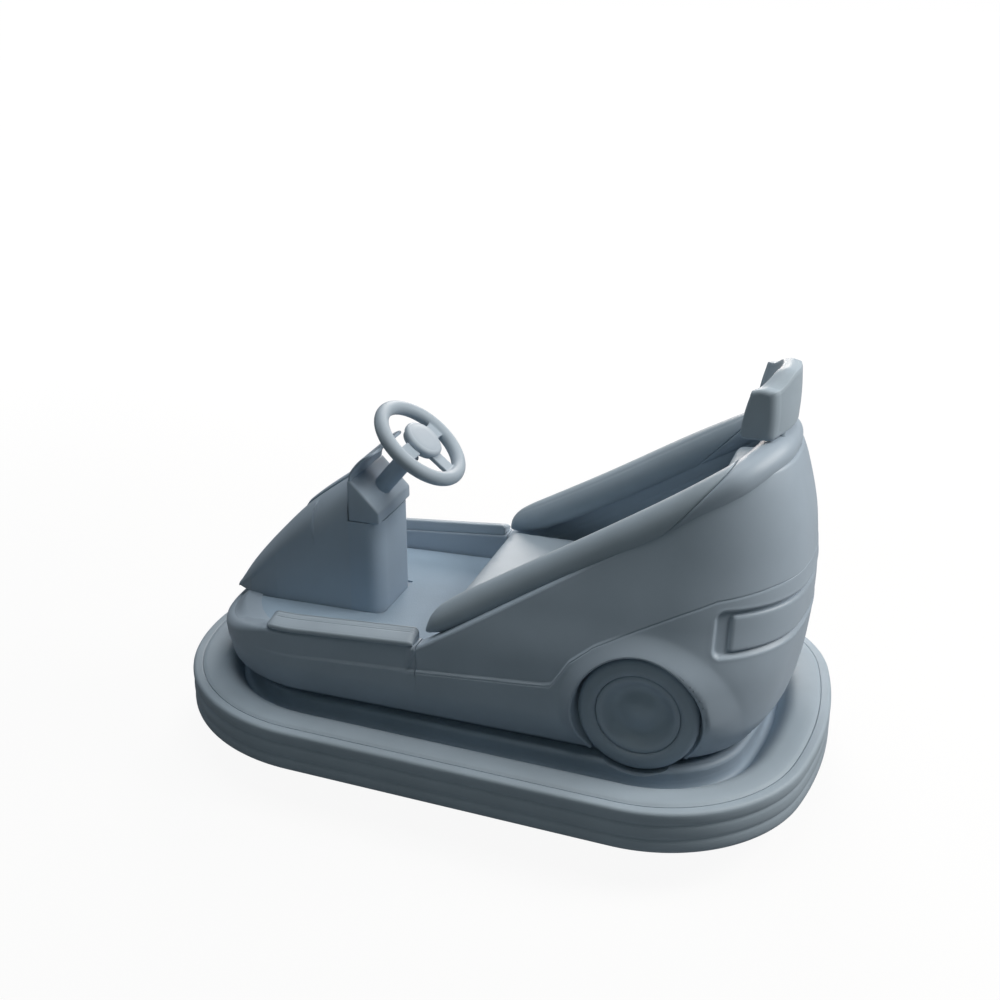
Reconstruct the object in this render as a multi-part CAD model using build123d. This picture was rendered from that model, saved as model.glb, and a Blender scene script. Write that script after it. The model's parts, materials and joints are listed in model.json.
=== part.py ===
from build123d import *
from math import cos, radians, sin, sqrt
import os

# A fairground bumper car. Millimetres, +X forward, +Y to the car's left, +Z up.
# The origin is on the floor below the middle of the bumper.

# Fits
GAP = 0.3  # between pieces that seat on each other
RUN = 6.0  # between pieces that turn past each other
BEARING = 0.1  # round a shaft or an axle

# Bumper, in plan. An end arc's radius is the half width and the "over" value,
# and the radius of the corner beside it is the half width less the "under" value.
LENGTH = 1800.0
NOSE, TAIL = LENGTH / 2, -LENGTH / 2
BUMPER_HALF = 556.0  # half width at mid length
BUMPER_TAPER = 0.056  # how much the side closes in, per millimetre forward
NOSE_OVER, NOSE_UNDER = 64.0, 56.0
TAIL_OVER, TAIL_UNDER = 668.0, 156.0

# Bumper, in section
BUMPER_BOTTOM, BUMPER_TOP = 98.0, 217.0
CASING_T = 28.0
CASING_TOP_R, CASING_FOOT_R = 10.0, 22.0
RIB_GROOVES, GROOVE_H, GROOVE_DEPTH = (142.0, 182.0), 8.0, 2.0
TUBE_WIDTH, TUBE_TOP, TUBE_R = 112.0, 224.0, 48.0
CHANNEL = 20.0  # open channel between the tube and the plinth

# Chassis
PLATE_Z, PLATE_T = 100.0, 10.0
TIE_FRONT_X, TIE_REAR_X = NOSE - 600, TAIL + 500
TIE_Y, TIE_HOLE_R = 280.0, 6.5
PLINTH_TOP, PLINTH_T, PLINTH_R = 232.0, 34.0, 12.0
NECK_HEIGHT, NECK_INSET = 18.0, 26.0  # the shadow gap under the body
BODY_Z = PLINTH_TOP + NECK_HEIGHT

# Body shell, in plan at each level. The insets are measured from the bumper's outline.
BODY_LEVELS = (
    # z, nose inset, tail inset, side inset, taper, nose over, nose under, tail over, tail under
    (BODY_Z, 104, 155, 170, 0.03, 134, 26, 514, 136),
    (BODY_Z + 85, 94, 102, 148, 0.03, 122, 33, 492, 138),
    (BODY_Z + 205, 100, 78, 152, 0.03, 116, 34, 496, 124),
    (BODY_Z + 350, 110, 68, 184, 0.01, 148, 32, 428, 82),
    (BODY_Z + 500, 120, 78, 226, 0.0, 190, 30, 370, 60),
    (BODY_Z + 650, 130, 110, 270, 0.0, 234, 26, 314, 51),
    (BODY_Z + 760, 140, 152, 312, 0.0, 276, 24, 256, 44),
)
LOWER_LEVELS = 5  # the lower body reaches up to this many of those levels
SILL_ROW = BODY_LEVELS[2]
SEAT_ROW = BODY_LEVELS[3]  # the wall beside the seat
WALL = 60.0
PANEL_STEP = 7.0  # the upper shell is set back this far from the lower body

# The lower body's upper edge, in side view, from the nose to the tail
SILL_FRONT, SILL_REAR = NOSE - 360, NOSE - 796
BELT_LINE = (
    # x, z
    (NOSE, BODY_Z + 68),
    (NOSE - 94, BODY_Z + 88),
    (NOSE - 200, BODY_Z + 122),
    (NOSE - 280, BODY_Z + 152),
    (SILL_FRONT, BODY_Z + 174),
    (SILL_REAR, BODY_Z + 202),
    (SILL_REAR, BODY_Z + 130),
    (TAIL + 644, BODY_Z + 160),
    (TAIL + 600, BODY_Z + 230),
    (TAIL + 555, BODY_Z + 270),
    (TAIL + 450, BODY_Z + 310),
    (TAIL + 260, BODY_Z + 398),
    (TAIL, BODY_Z + 418),
)

# The upper shell's rim, in side view
RIM_FRONT, RIM_REAR = (SILL_REAR - 44, BODY_Z + 226), (TAIL + 248, BODY_Z + 668)
RIM_LINE = (
    # x, z
    (SILL_REAR - 1, BODY_Z + 196),
    RIM_FRONT,
    RIM_REAR,
    (TAIL + 200, BODY_Z + 700),
    (TAIL, BODY_Z + 716),
)

FLOOR_Z, FLOOR_T, MAT_T = BODY_Z + 118, 12.0, 4.0

# Tread strip along each sill
STEP_W, STEP_LOW, STEP_HIGH, STEP_INSET = 56.0, 10.0, 34.0, 2.0
STEP_STATIONS = (SILL_FRONT - 10, SILL_FRONT - 60, SILL_FRONT - 140, SILL_REAR + 8)

# The soft roll on each rim, and its hard continuation round the tail
ROLL_SIDE = (
    # share of the rim's length, side inset, rise above the rim, half width, half height
    (-0.05, 206, 20, 14, 16),
    (0.0, 220, 36, 34, 36),
    (0.11, 240, 34, 46, 50),
    (0.365, 264, 31, 48, 53),
    (0.69, 276, 26, 48, 53),
    (0.87, 300, 19, 44, 48),
    (0.98, 336, 18, 40, 43),
)
ROLL_TAIL = (
    # x, y, z, half width, half height
    (TAIL + 210, 150, BODY_Z + 704, 40, 42),
    (TAIL + 188, 75, BODY_Z + 718, 40, 42),
    (TAIL + 182, 0, BODY_Z + 722, 40, 42),
)
# The seam between the two, in side view
SEAM_LOW, SEAM_HIGH = (TAIL + 427, BODY_Z + 526), (TAIL + 252, BODY_Z + 732)

# Hood and console
HOOD_HALF, HOOD_SHOULDER, HOOD_CROWN, HOOD_WALL = 112.0, 40.0, 80.0, 10.0
HOOD_LINE = (
    # x, z of the ridge from the dashboard to the nose
    (NOSE - 489, FLOOR_Z + 390),
    (NOSE - 327, FLOOR_Z + 266),
    (NOSE - 273, FLOOR_Z + 212),
    (NOSE - 169, FLOOR_Z + 94),
    (NOSE - 114, FLOOR_Z + 16),
)
HOOD_FOOT_Z = FLOOR_Z + GAP
HOOD_STRIP_HALF, HOOD_STRIP_T = 26.0, 8.0
CONSOLE_REAR, CONSOLE_TOP = NOSE - 582, FLOOR_Z + 272
CONSOLE_R, CONSOLE_WALL = 44.0, 16.0
DASH_LIP, DASH_RISE = 12.0, 34.0
COWL_HALF, COWL_T, COWL_CORNER = 110.0, 8.0, 30.0
COWL_LINE = (
    # x, z above the dashboard, along the outer face
    (-3, 0),
    (-6, 16),
    (-19, 38),
    (-48, 68),
    (-78, 86),
)

# Steering wheel and column
WHEEL_X, WHEEL_Z = NOSE - 662, FLOOR_Z + 481
WHEEL_TILT = 39.7  # degrees between the wheel's plane and the floor
WHEEL_R, RIM_R = 127.0, 20.0
HUB_R, HUB_T, HUB_BACK, HUB_ROUND = 58.0, 34.0, 10.0, 8.0
SPOKE_W, SPOKE_T = 46.0, 12.0
SPOKE_ANGLES = (90, 180, 270)
BOSS_R = 52.0
SHAFT_R, SHAFT_END = 11.0, 250.0
COLUMN_R, COLUMN_START, COLUMN_END = 26.0, 45.0, 232.0

# Drive unit under the console
FORK_X = NOSE - 470
DRIVE_R, DRIVE_W, DRIVE_TYRE_T = 100.0, 52.0, 38.0
DRIVE_RIM_R = DRIVE_R - DRIVE_TYRE_T
DISH_R, DISH_DEPTH = DRIVE_RIM_R - 12, 12.0
LUG_CIRCLE, LUG_R, LUG_COUNT = DISH_R - 16, 5.0, 5
ARM_T, ARM_W, ARM_GAP, ARM_EYE_R = 10.0, 84.0, 6.0, 24.0
CROWN_R, CROWN_T, CROWN_Z = 86.0, 12.0, 2 * DRIVE_R + 22
GUSSET_W, GUSSET_H = 26.0, 34.0
MOTOR_R, MOTOR_CLEAR = 70.0, 26.0  # clear of the floor pan above
FIN_COUNT, FIN_GROOVE, FIN_DEPTH = 5, 5.0, 6.0
KINGPIN_R = 22.0
BEARING_R, BEARING_H = 52.0, 18.0
KINGPIN_TOP = FLOOR_Z + BEARING_H + 10
AXLE_R, AXLE_HEAD_R, AXLE_HEAD_T = 10.0, 16.0, 7.0

# Rear wheels
REAR_X, REAR_INSET = TAIL + 380, 125.9  # inset: wheel centre to the body's outline
REAR_R, REAR_W, REAR_TYRE_T = 62.0, 38.0, 24.0
REAR_RIM_R = REAR_R - REAR_TYRE_T
REAR_DISH_R, REAR_DISH_DEPTH = REAR_RIM_R - 10, 7.0
CHEEK_T, CHEEK_W, CHEEK_EYE_R = 6.0, 70.0, 16.0
BRACKET_TOP = 2 * REAR_R + 18
REAR_AXLE_R = 8.0

# Dummy wheels on the flanks
DUMMY_X, DUMMY_Z = TAIL + 424, BODY_Z + 119
DUMMY_R, DUMMY_CAP_R = 151.0, 106.0
DUMMY_Y, DUMMY_T, DUMMY_CAP_T = BUMPER_HALF - 182, 38.0, 30.0
ARCH_GAP = 8.0
FLARE_W, FLARE_OUT, FLARE_LIP = 44.0, 9.0, 8.0

# Rear lamp band
LAMP_LOW, LAMP_HIGH, LAMP_X = BODY_Z + 298, BODY_Z + 370, TAIL + 224
RECESS_MARGIN, RECESS_X, RECESS_DEPTH, RECESS_R = 12.0, TAIL + 260, 12.0, 26.0

# Seat
SEAT_FRONT, SEAT_REAR = NOSE - 812, TAIL + 400
SEAT_SIDE_GAP = 12.0  # between the bench and the tub's wall
SEAT_HALF = BUMPER_HALF - SEAT_ROW[3] - WALL - SEAT_SIDE_GAP
SEAT_WALL, SEAT_R = 14.0, 40.0
SEAT_TOP, CUSHION_T, CUSHION_INSET, CUSHION_ROUND = FLOOR_Z + 72, 60.0, 4.0, 18.0
BACK_T, BACK_TOP_T = 60.0, 130.0
BACK_LOW_HALF, BACK_TOP_HALF = SEAT_HALF - 20, SEAT_HALF - 115
BACK_TOP_X, BACK_TOP_Z = TAIL + 300, FLOOR_Z + 512

# Headrest
HEADREST_LEVELS = (
    # z, outer x, outer end x, inner x, inner end x, half width
    (BODY_Z + 774, TAIL + 146, TAIL + 194, TAIL + 206, TAIL + 272, 194),
    (BODY_Z + 860, TAIL + 142, TAIL + 194, TAIL + 202, TAIL + 260, 198),
    (BODY_Z + 912, TAIL + 154, TAIL + 200, TAIL + 196, TAIL + 232, 184),
)
POST_X, POST_Y, POST_R = TAIL + 176, 70.0, 12.0

# Battery
BATTERY_L, BATTERY_W, BATTERY_H = 340.0, 380.0, 190.0

# Pedal on the right of the console
PEDAL_X, PEDAL_Y, PEDAL_L, PEDAL_W, PEDAL_T = NOSE - 430, -190.0, 120.0, 70.0, 10.0
PEDAL_TILT, PEDAL_FOOT_T, PEDAL_FOOT_W = 35.0, 14.0, 50.0

# Larger than the whole car, for cutting tools
REACH_Y, REACH_Z = 2 * BUMPER_HALF, LENGTH


def corner(tip, end_r, corner_r, half, taper, way):
    """Where a corner arc meets the end arc, its middle, and where it meets the side."""
    lean = sqrt(1 + taper * taper)
    end_x = tip - way * end_r
    level = half - corner_r * lean - taper * end_x
    a, b = 1 + taper * taper, -2 * taper * level
    c = level * level - (end_r - corner_r) ** 2
    along = (-b + way * sqrt(b * b - 4 * a * c)) / (2 * a)
    x, y = end_x + along, level - taper * along
    reach = sqrt(along * along + y * y)
    meet = (end_x + end_r * along / reach, end_r * y / reach)
    side = (x + corner_r * taper / lean, y + corner_r / lean)
    mid = ((meet[0] + side[0]) / 2 - x, (meet[1] + side[1]) / 2 - y)
    size = sqrt(mid[0] ** 2 + mid[1] ** 2)
    return meet, (x + corner_r * mid[0] / size, y + corner_r * mid[1] / size), side


def plan(z, nose, tail, half, taper, nose_over, nose_under, tail_over, tail_under):
    """A closed outline of tangent arcs and two straight sides, at height z."""
    nose_meet, nose_mid, nose_side = corner(nose, half + nose_over, half - nose_under, half, taper, 1)
    tail_meet, tail_mid, tail_side = corner(tail, half + tail_over, half - tail_under, half, taper, -1)

    def at(point, side=1):
        return (point[0], side * point[1], z)

    edges = [
        ThreePointArc(at(nose_meet, -1), (nose, 0, z), at(nose_meet)),
        ThreePointArc(at(nose_meet), at(nose_mid), at(nose_side)),
        Line(at(nose_side), at(tail_side)),
        ThreePointArc(at(tail_side), at(tail_mid), at(tail_meet)),
        ThreePointArc(at(tail_meet), (tail, 0, z), at(tail_meet, -1)),
        ThreePointArc(at(tail_meet, -1), at(tail_mid, -1), at(tail_side, -1)),
        Line(at(tail_side, -1), at(nose_side, -1)),
        ThreePointArc(at(nose_side, -1), at(nose_mid, -1), at(nose_meet, -1)),
    ]
    return Face(Wire(edges))


def inset_plan(row, inset, z=None):
    """The outline of a table's row, moved inwards on all sides."""
    height, nose, tail, side, *shape = row
    return plan(
        height if z is None else z,
        NOSE - nose - inset,
        TAIL + tail + inset,
        BUMPER_HALF - side - inset,
        *shape,
    )


BUMPER_ROW = (0, 0, 0, 0, BUMPER_TAPER, NOSE_OVER, NOSE_UNDER, TAIL_OVER, TAIL_UNDER)


def slab(row, inset, low, high):
    return extrude(inset_plan(row, inset, low), amount=high - low, dir=(0, 0, 1))


def body_block(rows, inset, extra=0.0):
    """The body's solid form between levels; extra lengthens it at both ends."""
    heights = [row[0] for row in rows]
    heights[0] -= extra
    heights[-1] += extra
    return loft([inset_plan(row, inset, z) for row, z in zip(rows, heights)], ruled=True)


def side_view(points, half):
    """A polygon given in side view, extruded to both sides of the centre plane."""
    face = Face(Wire(Polyline(*[(x, 0, z) for x, z in points], close=True)))
    return extrude(face, amount=half, dir=(0, 1, 0), both=True)


def below(line, drop=0.0):
    """All that lies under a side-view line, moved down by drop."""
    return side_view([(x, z - drop) for x, z in line] + [(TAIL, 0), (line[0][0], 0)], REACH_Y)


def rod(start, end, radius):
    start, end = Vector(*start), Vector(*end)
    plane = Plane(origin=start, z_dir=end - start)
    return extrude(plane * Circle(radius), amount=(end - start).length)


def cross_rod(x, z, y_low, y_high, radius):
    """A round bar along Y."""
    return rod((x, y_low, z), (x, y_high, z), radius)


def turned(profile, x, z):
    """A profile of (radius, y) turned about a line along Y through x, z."""
    face = Face(Wire(Polyline(*[(x + r, y, z) for r, y in profile], close=True)))
    return revolve(face, Axis((x, 0, z), (0, 1, 0)))


def across(solid):
    """The same piece on the other side of the car."""
    return mirror(solid, about=Plane.XZ)


def edges_at(solid, z):
    """The solid's edges that lie flat at height z."""
    level = []
    for edge in solid.edges():
        box = edge.bounding_box()
        if abs(box.min.Z - z) < 0.01 and abs(box.max.Z - z) < 0.01:
            level.append(edge)
    return level


def interpolate(line, x):
    """Height at x of a side-view line."""
    for (x0, z0), (x1, z1) in zip(line, line[1:]):
        if min(x0, x1) <= x <= max(x0, x1) and x0 != x1:
            return z0 + (z1 - z0) * (x - x0) / (x1 - x0)


def body_half_at(x, row):
    """Half width of the body's outline at x."""
    strip = Pos(x, 0, row[0]) * Box(0.1, REACH_Y, 1)
    return (inset_plan(row, 0) & strip).bounding_box().max.Y


parts = {}
rear_y = body_half_at(REAR_X - CHEEK_W / 2, BODY_LEVELS[0]) - REAR_INSET
tube_out = CASING_T + GAP
tube_in = tube_out + TUBE_WIDTH
plate_top = PLATE_Z + PLATE_T

# Bumper: a ribbed rubber casing round a rolled tube, on the chassis plate
casing = slab(BUMPER_ROW, 0, BUMPER_BOTTOM, BUMPER_TOP)
casing = fillet(edges_at(casing, BUMPER_TOP), CASING_TOP_R)
casing = fillet(edges_at(casing, BUMPER_BOTTOM), CASING_FOOT_R)
casing -= slab(BUMPER_ROW, CASING_T, BUMPER_BOTTOM - 1, BUMPER_TOP + 1)
for z in RIB_GROOVES:
    low, high = z - GROOVE_H / 2, z + GROOVE_H / 2
    casing -= slab(BUMPER_ROW, -1, low, high) - slab(BUMPER_ROW, GROOVE_DEPTH, low, high)
parts["bumper_casing"] = casing

tube = slab(BUMPER_ROW, tube_out, plate_top + GAP, TUBE_TOP)
tube -= slab(BUMPER_ROW, tube_in, plate_top, TUBE_TOP + 1)
tube = fillet(edges_at(tube, TUBE_TOP), TUBE_R)
parts["bumper_tube"] = tube

# Chassis plate, open round the drive wheel and the rear wheels
drive_sweep = sqrt(DRIVE_R**2 + (DRIVE_W / 2) ** 2) + RUN
slot_half = REAR_W / 2 + RUN + CHEEK_T + GAP
plate = slab(BUMPER_ROW, tube_out, PLATE_Z, plate_top)
plate -= Pos(FORK_X, 0, PLATE_Z) * Cylinder(drive_sweep, 4 * PLATE_T)
for side in (1, -1):
    plate -= Pos(REAR_X, side * rear_y, PLATE_Z) * Box(2 * (REAR_R + RUN), 2 * slot_half, 4 * PLATE_T)
    for x in (TIE_FRONT_X, TIE_REAR_X):
        plate -= Pos(x, side * TIE_Y, PLATE_Z) * Cylinder(TIE_HOLE_R, 4 * PLATE_T)
parts["chassis_plate"] = plate

# Plinth: the wall between the channel and the body, with a narrow neck under the body
arch = cross_rod(DUMMY_X, DUMMY_Z, DUMMY_Y - GAP, REACH_Y, DUMMY_R + ARCH_GAP)
plinth = slab(BUMPER_ROW, tube_in + CHANNEL, plate_top + GAP, PLINTH_TOP)
plinth = fillet(edges_at(plinth, PLINTH_TOP), PLINTH_R)
plinth += slab(BODY_LEVELS[0], NECK_INSET, PLINTH_TOP, BODY_Z - GAP)
plinth -= slab(BODY_LEVELS[0], NECK_INSET + PLINTH_T, plate_top, BODY_Z + 1)
plinth -= arch
plinth -= across(arch)
parts["plinth"] = plinth

# Lower body: the tub's wall with flared wheel arches and the rear lamp recess
lower_rows = BODY_LEVELS[:LOWER_LEVELS]
upper_rows = BODY_LEVELS[2:]
lower = body_block(lower_rows, 0)
arch_r = DUMMY_R + ARCH_GAP
flank = BUMPER_HALF - BODY_LEVELS[1][3] - BODY_LEVELS[1][4] * DUMMY_X
flare = turned(
    [
        (arch_r - 1, DUMMY_Y),
        (arch_r - 1, flank + FLARE_OUT - FLARE_LIP),
        (arch_r + FLARE_LIP, flank + FLARE_OUT),
        (arch_r + FLARE_W / 2, flank + FLARE_OUT),
        (arch_r + FLARE_W, flank - 2),
        (arch_r + FLARE_W, DUMMY_Y),
    ],
    DUMMY_X,
    DUMMY_Z,
)
flare &= Pos(DUMMY_X, 0, BODY_Z + arch_r) * Box(3 * arch_r, REACH_Y, 2 * arch_r)
lower += flare
lower += across(flare)
lower &= below(BELT_LINE)
lower -= body_block(BODY_LEVELS[:-1], WALL, 1)
recess_h = LAMP_HIGH - LAMP_LOW + 2 * RECESS_MARGIN
recess = Pos(RECESS_X - LENGTH / 2, 0, (LAMP_LOW + LAMP_HIGH) / 2) * Box(LENGTH, REACH_Y, recess_h)
recess = fillet(recess.edges().filter_by(Axis.Y).group_by(Axis.X)[-1], RECESS_R)
recess -= body_block(BODY_LEVELS[1:LOWER_LEVELS], RECESS_DEPTH)
lower -= recess
lower -= arch
lower -= across(arch)
parts["lower_body"] = lower

lamp_h = LAMP_HIGH - LAMP_LOW
lamp = Pos(LAMP_X - LENGTH / 2, 0, (LAMP_LOW + LAMP_HIGH) / 2) * Box(LENGTH, REACH_Y, lamp_h)
lamp = fillet(lamp.edges().filter_by(Axis.Y).group_by(Axis.X)[-1], RECESS_R - RECESS_MARGIN)
lamp &= body_block(BODY_LEVELS[1:LOWER_LEVELS], 0)
lamp -= body_block(BODY_LEVELS[1:LOWER_LEVELS], RECESS_DEPTH - GAP)
parts["rear_lamp_band"] = lamp

# Floor pan and mat
floor = body_block(BODY_LEVELS[1:3], WALL + GAP)
floor &= Pos(0, 0, FLOOR_Z - FLOOR_T / 2) * Box(LENGTH, REACH_Y, FLOOR_T)
floor -= Pos(FORK_X, 0, FLOOR_Z) * Cylinder(KINGPIN_R + RUN, 4 * FLOOR_T)
parts["floor_pan"] = floor

mat_top = FLOOR_Z + GAP + MAT_T
mat = slab(BODY_LEVELS[1], WALL + 8, FLOOR_Z + GAP, mat_top)
mat_l = NOSE - SEAT_FRONT - GAP
mat &= Pos(NOSE - mat_l / 2, 0, mat_top) * Box(mat_l, REACH_Y, 4 * MAT_T)
hood_length = HOOD_LINE[-1][0] - CONSOLE_REAR
mat -= Pos(CONSOLE_REAR + hood_length / 2, 0, mat_top) * Box(hood_length + 2, 2 * HOOD_HALF + 2, 4 * MAT_T)
parts["floor_mat"] = mat


# Roll along the rim: soft bolsters on both sides, hard round the tail
def roll(stations, grow=0.0):
    sections = []
    for i, (x, y, z, wide, high) in enumerate(stations):
        before = Vector(*stations[max(i - 1, 0)][:3])
        after = Vector(*stations[min(i + 1, len(stations) - 1)][:3])
        way = after - before
        plane = Plane(origin=(x, y, z), x_dir=(way.Y, -way.X, 0), z_dir=way)
        sections.append(plane * Ellipse(wide + grow, high + grow))
    return loft(sections, ruled=True)


stations = []
for share, inset, rise, wide, high in ROLL_SIDE:
    x = RIM_FRONT[0] + share * (RIM_REAR[0] - RIM_FRONT[0])
    z = RIM_FRONT[1] + share * (RIM_REAR[1] - RIM_FRONT[1])
    stations.append((x, BUMPER_HALF - inset, z + rise, wide, high))
stations += ROLL_TAIL
slope = (SEAM_HIGH[1] - SEAM_LOW[1]) / (SEAM_HIGH[0] - SEAM_LOW[0])


def behind_seam(shift):
    """All behind and above the seam between the bolster and the shell's shoulder."""
    low_x = SEAM_LOW[0] - SEAM_LOW[1] / slope + shift
    high_x = low_x + REACH_Z / slope
    far_x = TAIL - LENGTH
    return side_view([(low_x, 0), (high_x, REACH_Z), (far_x, REACH_Z), (far_x, 0)], REACH_Y)


bolster = roll(stations[: len(ROLL_SIDE)]) - behind_seam(GAP)
parts["bolster_left"] = bolster
parts["bolster_right"] = across(bolster)

# Upper shell from the belt line to the rim
upper = body_block(upper_rows, PANEL_STEP) & below(RIM_LINE)
upper -= below(BELT_LINE, -GAP)
upper -= body_block(upper_rows, WALL, 1)
cradle = roll(stations[: len(ROLL_SIDE)], GAP) - behind_seam(-GAP)
upper -= cradle
upper -= across(cradle)
half_shoulder = roll(stations[4:])
shoulder = half_shoulder & behind_seam(0)
upper += shoulder
upper += across(shoulder)
parts["rear_shell"] = upper

# Tread strips along the sills
sections = []
for x in STEP_STATIONS:
    y = body_half_at(x, SILL_ROW) - STEP_INSET
    z = interpolate(BELT_LINE[:6], x)
    section = [(y, z + GAP), (y, z + STEP_LOW), (y - STEP_W, z + STEP_HIGH), (y - STEP_W, z + GAP)]
    sections.append(Face(Wire(Polyline(*[(x, py, pz) for py, pz in section], close=True))))
step = loft(sections, ruled=True)
parts["sill_step_left"] = step
parts["sill_step_right"] = across(step)


# Hood: a tunnel from the nose to the dashboard with a flat ridge and rounded flanks
def hood_form(rows, half, shoulder, drop, foot):
    sections = []
    bend = 1 - cos(radians(45))
    for x, ridge in rows:
        top = ridge - drop
        spring = max(top - HOOD_CROWN, foot + 4)
        mid_y, mid_z = half - bend * (half - shoulder), top - bend * (top - spring)
        edges = [
            Line((x, half, spring), (x, half, foot)),
            Line((x, half, foot), (x, -half, foot)),
            Line((x, -half, foot), (x, -half, spring)),
            ThreePointArc((x, -half, spring), (x, -mid_y, mid_z), (x, -shoulder, top)),
            Line((x, -shoulder, top), (x, shoulder, top)),
            ThreePointArc((x, shoulder, top), (x, mid_y, mid_z), (x, half, spring)),
        ]
        sections.append(Face(Wire(edges)))
    return loft(sections, ruled=True)


hood = hood_form(HOOD_LINE, HOOD_HALF, HOOD_SHOULDER, 0, HOOD_FOOT_Z)
hollow_rows = [(HOOD_LINE[0][0] - 1, HOOD_LINE[0][1])] + list(HOOD_LINE[1:-1])
hood -= hood_form(hollow_rows, HOOD_HALF - HOOD_WALL, HOOD_SHOULDER, HOOD_WALL, HOOD_FOOT_Z - HOOD_WALL)
parts["hood"] = hood
strip_rows = HOOD_LINE[:2]
strip = [(x, z + GAP) for x, z in strip_rows] + [(x, z + HOOD_STRIP_T) for x, z in reversed(strip_rows)]
parts["hood_strip"] = side_view(strip, HOOD_STRIP_HALF)

# Console column under the dashboard
console_x = HOOD_LINE[0][0] - GAP
console_l = console_x - CONSOLE_REAR
console_h = CONSOLE_TOP - FLOOR_Z - GAP
console = Pos(console_x - console_l / 2, 0, CONSOLE_TOP - console_h / 2) * Box(console_l, 2 * HOOD_HALF, console_h)
console = fillet(console.edges().filter_by(Axis.Z).sort_by(Axis.X)[:2], CONSOLE_R)
console -= Pos(console_x - console_l / 2 + CONSOLE_WALL, 0, CONSOLE_TOP - console_h / 2) * Box(
    console_l, 2 * (HOOD_HALF - CONSOLE_WALL), console_h + 2
)
parts["console"] = console

# Dashboard panel between the console and the hood
dash_low, dash_top = CONSOLE_TOP + GAP, HOOD_LINE[0][1]
dash = side_view(
    [
        (CONSOLE_REAR, dash_low),
        (console_x, dash_low),
        (console_x, dash_top),
        (console_x - DASH_LIP, dash_top),
        (CONSOLE_REAR, dash_low + DASH_RISE),
    ],
    HOOD_HALF,
)
dash -= side_view(
    [
        (CONSOLE_REAR + CONSOLE_WALL, dash_low - 1),
        (console_x + 1, dash_low - 1),
        (console_x + 1, dash_top - CONSOLE_WALL),
        (CONSOLE_REAR + CONSOLE_WALL, dash_low + DASH_RISE - CONSOLE_WALL / 2),
    ],
    HOOD_HALF - CONSOLE_WALL,
)

# Steering column, along the wheel's axis
tilt = radians(WHEEL_TILT)
wheel_centre = Vector(WHEEL_X, 0, WHEEL_Z)
down = Vector(sin(tilt), 0, -cos(tilt))
wheel_plane = Plane(origin=wheel_centre, x_dir=(cos(tilt), 0, sin(tilt)), z_dir=-down)


def on_axis(distance):
    return tuple(wheel_centre + down * distance)


column = rod(on_axis(COLUMN_START), on_axis(COLUMN_END), COLUMN_R)
column -= rod(on_axis(COLUMN_START - 1), on_axis(COLUMN_END + 1), SHAFT_R + BEARING)
parts["steering_column"] = column
dash -= rod(on_axis(COLUMN_START), on_axis(COLUMN_END + 20), COLUMN_R + GAP)
parts["dash_panel"] = dash

# Curved cowl on the dashboard, in front of the steering wheel
outer = [(console_x + x, dash_top + GAP + z) for x, z in COWL_LINE]
inner = [(x - COWL_T, z) for x, z in outer[:2]] + [(x - COWL_T, z - COWL_T) for x, z in outer[2:]]
cowl = side_view(outer + inner[::-1], COWL_HALF)
cowl_top = outer[-1][1]
trim = Pos(console_x, 0, cowl_top - LENGTH / 2) * Box(LENGTH, 2 * COWL_HALF, LENGTH)
cowl &= fillet(trim.edges().filter_by(Axis.X).group_by(Axis.Z)[-1], COWL_CORNER)
parts["dash_cowl"] = cowl

# Steering wheel: rim, three spokes, hub and shaft
wheel = Torus(WHEEL_R, RIM_R)
for angle in SPOKE_ANGLES:
    wheel += Rot(0, 0, angle) * (Pos(WHEEL_R / 2, 0, 0) * Box(WHEEL_R, SPOKE_W, SPOKE_T))
wheel -= Cylinder(BOSS_R + GAP, 4 * RIM_R)
parts["steering_wheel"] = wheel_plane * wheel
hub = Pos(0, 0, HUB_T / 2 - HUB_BACK) * Cylinder(BOSS_R, HUB_T)
hub += Pos(0, 0, SPOKE_T / 2 + GAP + (HUB_T - HUB_BACK - SPOKE_T / 2 - GAP) / 2) * Cylinder(
    HUB_R, HUB_T - HUB_BACK - SPOKE_T / 2 - GAP
)
hub = fillet(hub.edges().group_by(Axis.Z)[-1], HUB_ROUND)
parts["steering_hub"] = wheel_plane * hub
parts["steering_shaft"] = rod(on_axis(HUB_BACK + GAP), on_axis(SHAFT_END), SHAFT_R)

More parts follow.
